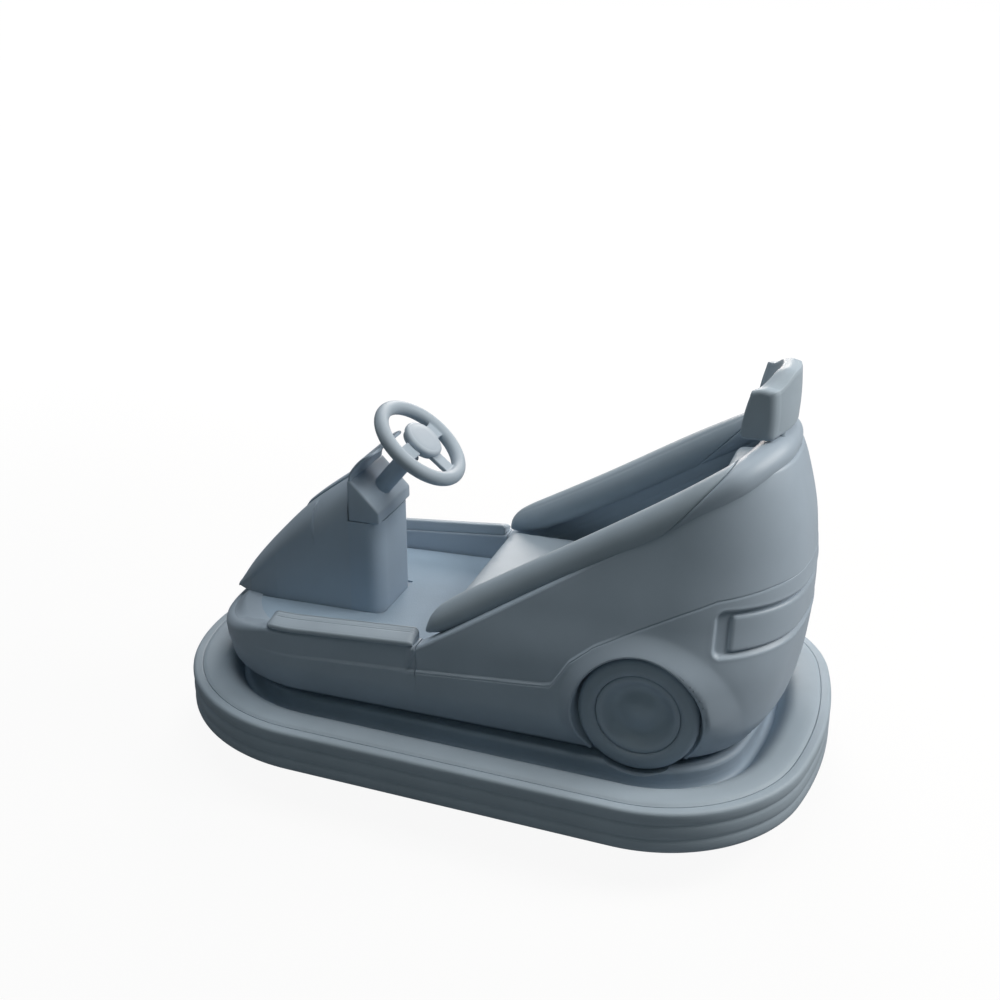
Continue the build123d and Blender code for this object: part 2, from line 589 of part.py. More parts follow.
# Drive unit: a gusseted fork, a finned motor and a dished wheel, turning as one about the kingpin
arm_y = DRIVE_W / 2 + ARM_GAP
motor_low = CROWN_Z + CROWN_T
motor_top = FLOOR_Z - FLOOR_T - MOTOR_CLEAR
fork = Pos(FORK_X, 0, CROWN_Z + CROWN_T / 2) * Cylinder(CROWN_R, CROWN_T)
for side in (1, -1):
    arm_mid = side * (arm_y + ARM_T / 2)
    arm_points = [
        (FORK_X - ARM_EYE_R, 0, DRIVE_R),
        (FORK_X + ARM_EYE_R, 0, DRIVE_R),
        (FORK_X + ARM_W / 2, 0, CROWN_Z + 1),
        (FORK_X - ARM_W / 2, 0, CROWN_Z + 1),
    ]
    arm = extrude(Face(Wire(Polyline(*arm_points, close=True))), amount=ARM_T / 2, dir=(0, 1, 0), both=True)
    fork += Pos(0, arm_mid, 0) * arm
    fork += cross_rod(FORK_X, DRIVE_R, arm_mid - ARM_T / 2, arm_mid + ARM_T / 2, ARM_EYE_R)
    head_from = side * (arm_y + ARM_T) if side > 0 else -(arm_y + ARM_T + AXLE_HEAD_T)
    fork += cross_rod(FORK_X, DRIVE_R, head_from, head_from + AXLE_HEAD_T, AXLE_HEAD_R)
    outer_y = side * (arm_y + ARM_T)
    gusset = [
        (FORK_X, outer_y - side, CROWN_Z - GUSSET_H),
        (FORK_X, outer_y - side, CROWN_Z + 1),
        (FORK_X, outer_y + side * GUSSET_W, CROWN_Z + 1),
    ]
    fork += extrude(Face(Wire(Polyline(*gusset, close=True))), amount=ARM_T / 2, dir=(1, 0, 0), both=True)
fork += cross_rod(FORK_X, DRIVE_R, -arm_y - 1, arm_y + 1, AXLE_R)
fork += rod((FORK_X, 0, motor_low - 1), (FORK_X, 0, KINGPIN_TOP), KINGPIN_R)
parts["drive_fork"] = fork
motor = rod((FORK_X, 0, motor_low + GAP), (FORK_X, 0, motor_top), MOTOR_R)
fin_pitch = (motor_top - motor_low) / (FIN_COUNT + 1)
for i in range(FIN_COUNT):
    fin = Pos(FORK_X, 0, motor_low + (i + 1) * fin_pitch)
    motor -= fin * (Cylinder(MOTOR_R + 1, FIN_GROOVE) - Cylinder(MOTOR_R - FIN_DEPTH, FIN_GROOVE))
motor -= rod((FORK_X, 0, motor_low), (FORK_X, 0, motor_top + 1), KINGPIN_R + GAP)
parts["drive_motor"] = motor


def dished_rim(x, z, radius, width, dish_r, depth, bore):
    """A wheel's rim with a dish in each side and a bore for the axle."""
    half, boss = width / 2, bore + 8
    profile = [(bore, -half), (boss, -half), (boss + 3, -half + depth), (dish_r - 3, -half + depth)]
    profile += [(dish_r, -half), (radius, -half), (radius, half), (dish_r, half)]
    profile += [(dish_r - 3, half - depth), (boss + 3, half - depth), (boss, half), (bore, half)]
    return turned(profile, x, z)


rim = dished_rim(FORK_X, DRIVE_R, DRIVE_RIM_R, DRIVE_W, DISH_R, DISH_DEPTH, AXLE_R + BEARING)
for i in range(LUG_COUNT):
    angle = radians(360 * i / LUG_COUNT)
    lug_x, lug_z = FORK_X + LUG_CIRCLE * cos(angle), DRIVE_R + LUG_CIRCLE * sin(angle)
    lug_y = DRIVE_W / 2 - DISH_DEPTH / 2
    rim += cross_rod(lug_x, lug_z, -lug_y, lug_y, LUG_R)
parts["drive_rim"] = rim
tyre = cross_rod(FORK_X, DRIVE_R, -DRIVE_W / 2, DRIVE_W / 2, DRIVE_R)
tyre = fillet(tyre.edges().filter_by(GeomType.CIRCLE), 8)
tyre -= cross_rod(FORK_X, DRIVE_R, -DRIVE_W, DRIVE_W, DRIVE_RIM_R + BEARING)
parts["drive_tyre"] = tyre

bearing = rod((FORK_X, 0, FLOOR_Z + GAP), (FORK_X, 0, FLOOR_Z + BEARING_H), BEARING_R)
bearing -= rod((FORK_X, 0, FLOOR_Z - 1), (FORK_X, 0, FLOOR_Z + BEARING_H + 1), KINGPIN_R + BEARING)
parts["kingpin_bearing"] = bearing

# Rear wheels in brackets on the chassis plate
cheek_y = REAR_W / 2 + RUN
bracket_l = 2 * (REAR_R + RUN + 2 * CHEEK_T)
bracket_w = 2 * (cheek_y + CHEEK_T)
bracket_h = BRACKET_TOP - plate_top - GAP
bracket = Pos(0, 0, BRACKET_TOP - bracket_h / 2) * Box(bracket_l, bracket_w, bracket_h)
bracket -= Pos(0, 0, BRACKET_TOP - CHEEK_T - BRACKET_TOP / 2) * Box(
    bracket_l - 2 * CHEEK_T, 2 * cheek_y, BRACKET_TOP
)
cheek_points = [(-CHEEK_EYE_R, 0, REAR_R), (CHEEK_EYE_R, 0, REAR_R)]
cheek_points += [(CHEEK_W / 2, 0, BRACKET_TOP), (-CHEEK_W / 2, 0, BRACKET_TOP)]
cheek_face = Face(Wire(Polyline(*cheek_points, close=True)))
for side in (1, -1):
    cheek = extrude(cheek_face, amount=CHEEK_T / 2, dir=(0, 1, 0), both=True)
    cheek += cross_rod(0, REAR_R, -CHEEK_T / 2, CHEEK_T / 2, CHEEK_EYE_R)
    bracket += Pos(0, side * (cheek_y + CHEEK_T / 2), 0) * cheek
bracket += cross_rod(0, REAR_R, -cheek_y - CHEEK_T / 2, cheek_y + CHEEK_T / 2, REAR_AXLE_R)
small_rim = dished_rim(0, REAR_R, REAR_RIM_R, REAR_W, REAR_DISH_R, REAR_DISH_DEPTH, REAR_AXLE_R + BEARING)
small_tyre = cross_rod(0, REAR_R, -REAR_W / 2, REAR_W / 2, REAR_R)
small_tyre = fillet(small_tyre.edges().filter_by(GeomType.CIRCLE), 6)
small_tyre -= cross_rod(0, REAR_R, -REAR_W, REAR_W, REAR_RIM_R + BEARING)
for side, name in ((1, "left"), (-1, "right")):
    place = Pos(REAR_X, side * rear_y, 0)
    parts["rear_bracket_" + name] = place * bracket
    parts["rear_rim_" + name] = place * small_rim
    parts["rear_tyre_" + name] = place * small_tyre

# Dummy wheels on the flanks: a rounded tyre ring and a dished cap
dummy_out = DUMMY_Y + DUMMY_T
dummy_tyre = cross_rod(DUMMY_X, DUMMY_Z, DUMMY_Y, dummy_out, DUMMY_R)
dummy_tyre = fillet(dummy_tyre.edges().group_by(Axis.Y)[-1], 16)
dummy_tyre -= cross_rod(DUMMY_X, DUMMY_Z, DUMMY_Y - 1, REACH_Y, DUMMY_CAP_R + GAP)
cap_lip = DUMMY_Y + DUMMY_CAP_T
cap = turned(
    [
        (0, DUMMY_Y),
        (DUMMY_CAP_R, DUMMY_Y),
        (DUMMY_CAP_R, cap_lip - 4),
        (DUMMY_CAP_R - 4, cap_lip),
        (DUMMY_CAP_R - 12, cap_lip),
        (DUMMY_CAP_R - 34, cap_lip - 17),
        (DUMMY_CAP_R - 50, cap_lip - 19),
        (DUMMY_CAP_R - 64, cap_lip - 15),
        (0, cap_lip - 12),
    ],
    DUMMY_X,
    DUMMY_Z,
)
parts["dummy_tyre_left"] = dummy_tyre
parts["dummy_tyre_right"] = across(dummy_tyre)
parts["dummy_cap_left"] = cap
parts["dummy_cap_right"] = across(cap)

# Seat box with cushion and backrest
seat_l = SEAT_FRONT - SEAT_REAR
seat_low = FLOOR_Z + GAP
seat_h = SEAT_TOP - seat_low
seat_mid = (SEAT_FRONT + SEAT_REAR) / 2
seat = Pos(seat_mid, 0, SEAT_TOP - seat_h / 2) * Box(seat_l, 2 * SEAT_HALF, seat_h)
seat = fillet(seat.edges().filter_by(Axis.Z), SEAT_R)
seat -= Pos(seat_mid, 0, SEAT_TOP - seat_h / 2 - SEAT_WALL) * Box(
    seat_l - 2 * SEAT_WALL, 2 * (SEAT_HALF - SEAT_WALL), seat_h
)
parts["seat_box"] = seat
cushion_top = SEAT_TOP + GAP + CUSHION_T
cushion = Pos(seat_mid, 0, cushion_top - CUSHION_T / 2) * Box(
    seat_l - 2 * CUSHION_INSET, 2 * (SEAT_HALF - CUSHION_INSET), CUSHION_T
)
cushion = fillet(cushion.edges().filter_by(Axis.Z), SEAT_R)
cushion = fillet(cushion.edges().group_by(Axis.Z)[-1], CUSHION_ROUND)
parts["seat_cushion"] = cushion


def back_face(x, z, half, thick):
    corners = [(x, -half, z), (x, half, z), (x - thick, half, z), (x - thick, -half, z)]
    return Face(Wire(Polyline(*corners, close=True)))


back = loft(
    [
        back_face(SEAT_REAR + CUSHION_INSET + BACK_T, cushion_top + GAP, BACK_LOW_HALF, BACK_T),
        back_face(BACK_TOP_X, BACK_TOP_Z, BACK_TOP_HALF, BACK_TOP_T),
    ],
    ruled=True,
)
back &= body_block(upper_rows, WALL + GAP, 1)
parts["seat_back"] = back


# Headrest wrapped round the tail, on two posts
def headrest_face(z, out, out_end, inner, inner_end, half):
    return Face(
        Wire(
            [
                ThreePointArc((out_end, half, z), (out, 0, z), (out_end, -half, z)),
                Line((out_end, -half, z), (inner_end, -half, z)),
                ThreePointArc((inner_end, -half, z), (inner, 0, z), (inner_end, half, z)),
                Line((inner_end, half, z), (out_end, half, z)),
            ]
        )
    )


headrest = loft([headrest_face(*row) for row in HEADREST_LEVELS], ruled=True)
parts["headrest"] = headrest
roll_top = ROLL_TAIL[1][2] + ROLL_TAIL[1][4]
post = rod((POST_X, POST_Y, roll_top - 20), (POST_X, POST_Y, HEADREST_LEVELS[0][0] - GAP), POST_R)
post -= roll(stations[6:], GAP)
parts["headrest_posts"] = Compound([post, across(post)])

# Battery under the seat
battery = Pos(seat_mid, 0, plate_top + GAP + BATTERY_H / 2) * Box(BATTERY_L, BATTERY_W, BATTERY_H)
parts["battery"] = battery

# Accelerator pedal on the floor, to the right of the console
pedal = Rot(0, -PEDAL_TILT, 0) * (Pos(PEDAL_L / 2, 0, PEDAL_T / 2) * Box(PEDAL_L, PEDAL_W, PEDAL_T))
lift = PEDAL_L * sin(radians(PEDAL_TILT))
foot_x = PEDAL_L * cos(radians(PEDAL_TILT)) - PEDAL_FOOT_T
pedal += Pos(foot_x, 0, lift / 2) * Box(PEDAL_FOOT_T, PEDAL_FOOT_W, lift)
parts["pedal"] = Pos(PEDAL_X, PEDAL_Y, mat_top + GAP) * pedal

os.makedirs("parts", exist_ok=True)
for name, solid in parts.items():
    export_step(solid, f"parts/{name}.step")
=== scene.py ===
import bpy
import bmesh
import json
import math
import numpy as np
from mathutils import Matrix, Vector


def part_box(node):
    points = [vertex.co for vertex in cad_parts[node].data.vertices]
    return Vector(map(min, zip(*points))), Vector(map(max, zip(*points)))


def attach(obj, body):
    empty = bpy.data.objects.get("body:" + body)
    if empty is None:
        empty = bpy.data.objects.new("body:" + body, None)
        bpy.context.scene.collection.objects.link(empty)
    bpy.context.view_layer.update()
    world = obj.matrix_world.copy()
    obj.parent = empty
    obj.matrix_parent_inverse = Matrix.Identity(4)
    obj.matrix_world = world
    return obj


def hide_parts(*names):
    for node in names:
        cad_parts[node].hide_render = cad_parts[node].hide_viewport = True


# Looks of a fairground bumper car, in millimetres in the part's own frame. In metres are the steering wheel's
# rim and place, the seat's pads, the camera, the lamps and the floor.
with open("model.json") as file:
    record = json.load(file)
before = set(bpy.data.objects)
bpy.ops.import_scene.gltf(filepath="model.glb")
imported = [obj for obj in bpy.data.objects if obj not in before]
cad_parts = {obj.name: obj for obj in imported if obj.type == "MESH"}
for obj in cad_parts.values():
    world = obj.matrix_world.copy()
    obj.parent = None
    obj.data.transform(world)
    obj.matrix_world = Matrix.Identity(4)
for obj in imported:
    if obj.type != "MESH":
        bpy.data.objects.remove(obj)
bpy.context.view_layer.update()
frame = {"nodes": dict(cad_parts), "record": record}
bpy.context.view_layer.update()
scene = bpy.context.scene

NOSE, TAIL, HALF = 900.0, -900.0, 556.0
BODY_Z, FLOOR_Z = 250.0, 368.0
WALL = 60.0
FULL_TURN = 2 * math.pi
MIRROR = np.array([1, -1, 1])
SIDES = ((1, "left"), (-1, "right"))
BUMPER = (0.056, 64, 56, 668, 156)  # taper, nose over, nose under, tail over, tail under
LEVELS = (
    # z above the body's foot, insets of nose, tail and side, taper, and how far the end's radius goes over
    # the half width and the corner's stays under it, at the nose and at the tail
    (0, 104, 155, 170, 0.03, 134, 26, 514, 136),
    (85, 94, 102, 148, 0.03, 122, 33, 492, 138),
    (205, 100, 78, 152, 0.03, 116, 34, 496, 124),
    (350, 110, 68, 184, 0.01, 148, 32, 428, 82),
    (500, 120, 78, 226, 0.0, 190, 30, 370, 60),
    (650, 130, 110, 270, 0.0, 234, 26, 314, 51),
    (760, 140, 152, 312, 0.0, 276, 24, 256, 44),
)
# side-view lines of (x, z): the lower body's upper edge, the set-back side panel, and the upper shell's rim
BELT_TAIL = ((-900, 700), (-760, 686), (-640, 668), (-560, 634), (-450, 578), (-360, 530))
BELT = (*BELT_TAIL, (-300, 480), (-256, 410), (103, 380), (105, 452), (540, 424), (620, 402), (700, 372),
        (806, 338), (900, 318))
PANEL = ((-1100, 720), *BELT_TAIL, (-304, 484), (-262, 418), (-240, 410), (133, 379), (106, 456), (104, 1400),
         (-1100, 1400))
RIM = ((-900, 966), (-700, 950), (-652, 918), (60, 476), (103, 450))
SILL_FRONT, SILL_REAR = 540.0, 104.0
ARCH_X, ARCH_Z, ARCH_R = -476.0, 369.0, 159.0
DUMMY_Y, DUMMY_R, CAP_R = 374.0, 151.0, 106.0
LAMP_LOW, LAMP_HIGH, LAMP_X = 548.0, 634.0, -676.0


# ---------------------------------------------------------------- numbers
def pchip(xs, ys, at):
    """A smooth curve through the given values that never overshoots them."""
    xs, ys, at = np.asarray(xs, float), np.asarray(ys, float), np.asarray(at, float)
    h, d = np.diff(xs), np.diff(ys) / np.diff(xs)
    m = np.zeros_like(ys)
    for i in range(1, len(xs) - 1):
        if d[i - 1] * d[i] > 0:
            w1, w2 = 2 * h[i] + h[i - 1], h[i] + 2 * h[i - 1]
            m[i] = (w1 + w2) / (w1 / d[i - 1] + w2 / d[i])
    m[0], m[-1] = d[0], d[-1]
    i = np.clip(np.searchsorted(xs, at) - 1, 0, len(xs) - 2)
    t = np.clip((at - xs[i]) / h[i], 0, 1)
    return ((2 * t**3 - 3 * t**2 + 1) * ys[i] + (t**3 - 2 * t**2 + t) * h[i] * m[i]
            + (3 * t**2 - 2 * t**3) * ys[i + 1] + (t**3 - t**2) * h[i] * m[i + 1])


def line(points, x):
    """Height of a line of (x, z) points at x."""
    pts = sorted(points)
    return np.interp(x, [p[0] for p in pts], [p[1] for p in pts])


def lengths(points):
    """Distance along a row of points, at each of them."""
    return np.concatenate([[0], np.cumsum(np.linalg.norm(np.diff(points, axis=0), axis=1))])


def soft(t):
    """A smooth step from 0 at t = 0 to 1 at t = 1."""
    t = np.clip(t, 0, 1)
    return t * t * (3 - 2 * t)


def quarter(t):
    """A quarter circle, from 0 and upright at t = 0 to 1 and level at t = 1."""
    return np.sqrt(1 - (1 - np.clip(t, 0, 1)) ** 2)


def bell(t):
    """A soft bump, 1 at t = 0 and nearly gone at t = 2."""
    return np.exp(-(t**2))


def turn(a0, a1, n):
    """Angles in radians from a row of n between two angles in degrees."""
    return np.radians(np.linspace(a0, a1, n))


def fillet(r, angles):
    """Rise and inset of a rounded lower edge at each angle, from level, 0, to upright."""
    return [(r * (1 - math.cos(a)), r * (1 - math.sin(a))) for a in angles]


def arc(cx, cz, r, a0, a1, n):
    return [(cx + r * math.cos(t), cz + r * math.sin(t)) for t in turn(a0, a1, n)]


def away(points, x, z, radius=0.0):
    """Signed distance in side view to a closed polygon, negative inside, less a radius for its corners."""
    pts = np.asarray(points, float)
    near = np.full(np.shape(x), 1e9)
    inside = np.zeros(np.shape(x), bool)
    for (ax, az), (bx, bz) in zip(pts, np.roll(pts, -1, 0)):
        ex, ez = bx - ax, bz - az
        t = np.clip(((x - ax) * ex + (z - az) * ez) / (ex * ex + ez * ez), 0, 1)
        near = np.minimum(near, np.hypot(x - ax - t * ex, z - az - t * ez))
        cross = (az > z) != (bz > z)
        with np.errstate(divide="ignore", invalid="ignore"):
            inside ^= cross & (x < (bx - ax) * (z - az) / (bz - az) + ax)
    return np.where(inside, -near, near) - radius


def half_outline(nose, tail, half, taper, nose_over, nose_under, tail_over, tail_under, n=90):
    """Points and outward directions of a plan outline's left half, from the nose tip to the tail tip."""
    lean = math.hypot(1, taper)
    turns, centres, radii = [], [], []
    for tip, over, under, way in ((nose, nose_over, nose_under, 1), (tail, tail_over, tail_under, -1)):
        end_r, corner_r = half + over, half - under
        end_x = tip - way * end_r
        level = half - corner_r * lean - taper * end_x
        a, b, c = 1 + taper**2, -2 * taper * level, level**2 - (end_r - corner_r) ** 2
        along = (-b + way * math.sqrt(b * b - 4 * a * c)) / (2 * a)
        cy = level - taper * along
        turns.append(math.atan2(cy, along))
        centres.append(((end_x, 0), (end_x + along, cy)))
        radii.append((end_r, corner_r))
    side = math.atan2(1, taper)
    arcs = [
        (centres[0][0], radii[0][0], 0, turns[0]),
        (centres[0][1], radii[0][1], turns[0], side),
        (centres[1][1], radii[1][1], side, turns[1]),
        (centres[1][0], radii[1][0], turns[1], math.pi),
    ]
    angle = np.concatenate([np.linspace(a0, a1, n) for _, _, a0, a1 in arcs])
    x = np.concatenate([np.full(n, c[0]) for c, _, _, _ in arcs])
    y = np.concatenate([np.full(n, c[1]) for c, _, _, _ in arcs])
    r = np.concatenate([np.full(n, rr) for _, rr, _, _ in arcs])
    return x + r * np.cos(angle), y + r * np.sin(angle), np.cos(angle), np.sin(angle)


class Ring:
    """Columns round the car, the same at each height: by arc length at the ends, by x along the sides."""

    def __init__(self, rows, z, x_front, x_rear, ends, pitch, dense=()):
        xs, x = [], x_front
        while x > x_rear:
            xs.append(x)
            x -= min([pitch] + [p for lo, hi, p in dense if lo < x < hi])
        xs.append(x_rear)
        self.xs = np.array(xs)
        self.z = np.asarray(z, float)
        table = []
        for row in rows:
            px, py, nx, ny = half_outline(*row)
            s = np.concatenate([[0], np.cumsum(np.hypot(np.diff(px), np.diff(py)))])
            # tiny steps keep both tables rising where the outline stands still
            s += np.arange(len(s)) * 1e-7
            down = -px + np.arange(len(s)) * 1e-9
            front, rear = np.interp(-x_front, down, s), np.interp(-x_rear, down, s)
            where = np.concatenate([
                np.linspace(0, front, ends[0], endpoint=False),
                np.interp(-self.xs, down, s),
                np.linspace(rear, s[-1], ends[1] + 1)[1:],
            ])
            table.append(np.stack([np.interp(where, s, v) for v in (px, py, nx, ny)], -1))
        self.table = np.array(table)
        self.count = self.table.shape[1]

    def at(self, col, z, inset=0.0):
        """Points at column numbers and heights, moved inwards."""
        col, z, inset = np.broadcast_arrays(col, z, inset)
        k = np.clip(np.interp(z, self.z, np.arange(len(self.z))), 0, len(self.z) - 1.000001)
        i = k.astype(int)
        t = (k - i)[..., None]
        v = self.table[i, col] * (1 - t) + self.table[np.minimum(i + 1, len(self.z) - 1), col] * t
        size = np.hypot(v[..., 2], v[..., 3])
        return np.stack([v[..., 0] - inset * v[..., 2] / size, v[..., 1] - inset * v[..., 3] / size, z], -1)

    def wrap(self, cols, rows):
        """A skin's grid from its rows of (z, inset), each carried along a column of column numbers."""
        return np.concatenate([self.at(cols, z, inset) for z, inset in rows], 1)


def body_rows(z):
    """The body's plan outline at each height."""
    cols = list(zip(*LEVELS))
    out = []
    for h in z:
        v = [float(pchip([BODY_Z + k for k in cols[0]], c, h)) for c in cols[1:]]
        out.append((NOSE - v[0], TAIL + v[1], HALF - v[2], *v[3:]))
    return out


# ---------------------------------------------------------------- meshes
MM = 0.001
WELD = 2e-5


def put(name, data):
    """A new object in the scene."""
    obj = bpy.data.objects.new(name, data)
    scene.collection.objects.link(obj)
    return obj


def build(name, co, faces, slot, **kw):
    """A mesh object from points in millimetres."""
    me = bpy.data.meshes.new(name)
    co = np.asarray(co, float).reshape(-1, 3) * MM
    me.from_pydata(co.tolist(), [], [list(map(int, f)) for f in faces])
    bm = bmesh.new()
    bm.from_mesh(me)
    bmesh.ops.remove_doubles(bm, verts=bm.verts, dist=WELD)
    bmesh.ops.recalc_face_normals(bm, faces=bm.faces)
    bm.to_mesh(me)
    bm.free()
    return dress(put(name, me), slot, **kw)


def shade_smooth(obj, angle=None):
    """Smooth shading, but for edges sharper than the angle in degrees."""
    obj.data.polygons.foreach_set("use_smooth", [True] * len(obj.data.polygons))
    if angle:
        obj.data.set_sharp_from_angle(angle=math.radians(angle))


def dress(obj, slot, body="root", replaces=(), angle=None):
    """Gives a piece its slot and that slot's material, its shading, its body and the solids it stands for."""
    me = obj.data
    me.materials.clear()
    me.materials.append(M[slot])
    shade_smooth(obj, angle)
    me.update()
    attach(obj, body)
    if replaces:
        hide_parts(*replaces)
    return obj


def from_bmesh(name, bm):
    me = bpy.data.meshes.new(name)
    bm.to_mesh(me)
    bm.free()
    return put(name, me)


def bake(obj):
    """Applies an object's modifiers."""
    dg = bpy.context.evaluated_depsgraph_get()
    new = bpy.data.meshes.new_from_object(obj.evaluated_get(dg))
    old = obj.data
    obj.modifiers.clear()
    obj.data = new
    bpy.data.meshes.remove(old)


def even(obj, rounds):
    mod = obj.modifiers.new("smooth", "SMOOTH")
    mod.factor, mod.iterations = 0.5, rounds


def remesh(obj, voxel, rounds=0):
    """Rebuilds a mesh on a voxel grid, and evens it out by some rounds of smoothing."""
    mod = obj.modifiers.new("remesh", "REMESH")
    mod.mode, mod.voxel_size = "VOXEL", voxel
    if rounds:
        even(obj, rounds)
    bake(obj)


def quads(nu, nv, close_u=False, close_v=False):
    out = []
    for i in range(nu if close_u else nu - 1):
        for j in range(nv if close_v else nv - 1):
            a, b = i * nv + j, i * nv + (j + 1) % nv
            c, d = ((i + 1) % nu) * nv + (j + 1) % nv, ((i + 1) % nu) * nv + j
            out.append((a, b, c, d))
    return out


def sheet(name, grid, slot, close_u=False, close_v=False, capped=False, keep=None, **kw):
    """A skin over a grid of points. Capped, it is a closed tube with two flat ends, and faces with a corner
    outside keep are left out."""
    grid = np.asarray(grid, float)
    nu, nv = grid.shape[:2]
    faces = quads(nu, nv, close_u, close_v or capped)
    if keep is not None:
        flat = keep.reshape(-1)
        faces = [f for f in faces if all(flat[k] for k in f)]
    if capped:
        faces.append(tuple(range(nv)))
        faces.append(tuple((nu - 1) * nv + j for j in range(nv)))
    return build(name, grid, faces, slot, **kw)


def both(half):
    """A ring's left half and its mirror image, as one closed row of columns."""
    return np.concatenate([half, half[-2:0:-1] * MIRROR])


def round_tail(half):
    """The same for a piece that is open at the front."""
    return np.concatenate([half, half[-2::-1] * MIRROR])


def lathe(name, profile, centre, slot, axis="y", **kw):
    """A profile of (radius, offset along the axis) turned about it."""
    turns = 128
    grid = []
    for a in np.linspace(0, FULL_TURN, turns, endpoint=False):
        if axis == "y":
            ring = [(r * math.cos(a), o, r * math.sin(a)) for r, o in profile]
        else:
            ring = [(r * math.cos(a), r * math.sin(a), o) for r, o in profile]
        grid.append(ring)
    return sheet(name, np.array(grid) + centre, slot, close_u=True, **kw)


# ---------------------------------------------------------------- materials
# Convex edges, picked out by pointiness between the first two numbers, get a painted highlight: a paler tint
# mixed in by at most the third.
EDGE_FROM, EDGE_TO, EDGE_HIGHLIGHT = 0.52, 0.62, 0.12
GLOSS_SPREAD = 0.06
SPECULAR = 0.32


def add_node(tree, kind, inputs=(), **settings):
    """A shader node with its own settings and the values of its inputs."""
    made = tree.nodes.new(kind)
    for key, value in settings.items():
        setattr(made, key, value)
    for key, value in dict(inputs).items():
        made.inputs[key].default_value = value
    return made


def wire(tree, *pairs):
    for source, target in pairs:
        tree.links.new(source, target)


def satin(name, colour, rough, grain=900.0, grain_depth=0.06, mottle=0.05, sheen=0.0, weave=None):
    """A satin finish with fine grain, soft colour variation and a painted highlight on its convex edges."""
    mat = bpy.data.materials.new(name)
    mat.use_nodes = True
    tree = mat.node_tree
    bsdf = tree.nodes["Principled BSDF"]
    where = add_node(tree, "ShaderNodeTexCoord").outputs["Object"]

    cloud = add_node(tree, "ShaderNodeTexNoise", {"Scale": 7.0, "Detail": 4.0})
    tone = add_node(tree, "ShaderNodeValToRGB")
    for stop, place, share in zip(tone.color_ramp.elements, (0.35, 0.65), (1 - mottle, 1 + mottle)):
        stop.color = (*[min(1.0, c * share) for c in colour], 1)
        stop.position = place
    geometry = add_node(tree, "ShaderNodeNewGeometry")
    edge = add_node(tree, "ShaderNodeMapRange",
                    {"From Min": EDGE_FROM, "From Max": EDGE_TO, "To Max": EDGE_HIGHLIGHT})
    # painted highlight: convex edges are lightened towards a paler tint
    highlight_tint = (*[min(1.0, c * 1.35 + 0.02) for c in colour], 1)
    edge_highlight = add_node(tree, "ShaderNodeMix", {"B": highlight_tint}, data_type="RGBA")
    wire(tree, (where, cloud.inputs["Vector"]), (cloud.outputs["Fac"], tone.inputs["Fac"]),
         (geometry.outputs["Pointiness"], edge.inputs["Value"]),
         (edge.outputs["Result"], edge_highlight.inputs["Factor"]), (tone.outputs["Color"], edge_highlight.inputs["A"]),
         (edge_highlight.outputs["Result"], bsdf.inputs["Base Color"]))

    fine = add_node(tree, "ShaderNodeTexNoise", {"Scale": grain, "Detail": 2.0})
    height = fine.outputs["Fac"]
    if weave:
        cell = add_node(tree, "ShaderNodeTexVoronoi", {"Scale": weave})
        add = add_node(tree, "ShaderNodeMath", operation="ADD")
        wire(tree, (where, cell.inputs["Vector"]), (fine.outputs["Fac"], add.inputs[0]),
             (cell.outputs["Distance"], add.inputs[1]))
        height = add.outputs["Value"]
    bump = add_node(tree, "ShaderNodeBump", {"Strength": grain_depth, "Distance": 0.0006})
    patch = add_node(tree, "ShaderNodeTexNoise", {"Scale": 18.0, "Detail": 3.0})
    polish = add_node(tree, "ShaderNodeMapRange",
                      {"To Min": rough - GLOSS_SPREAD, "To Max": rough + GLOSS_SPREAD})
    wire(tree, (where, fine.inputs["Vector"]), (height, bump.inputs["Height"]),
         (bump.outputs["Normal"], bsdf.inputs["Normal"]), (where, patch.inputs["Vector"]),
         (patch.outputs["Fac"], polish.inputs["Value"]), (polish.outputs["Result"], bsdf.inputs["Roughness"]))
    bsdf.inputs["Specular IOR Level"].default_value = SPECULAR
    if sheen:
        bsdf.inputs["Sheen Weight"].default_value = sheen
        bsdf.inputs["Sheen Roughness"].default_value = 0.4
    return mat


def tint(r, g, b):
    """A colour given as the eye reads it, from 0 to 255."""
    return tuple(((v / 255 + 0.055) / 1.055) ** 2.4 if v > 10 else v / 255 / 12.92 for v in (r, g, b))


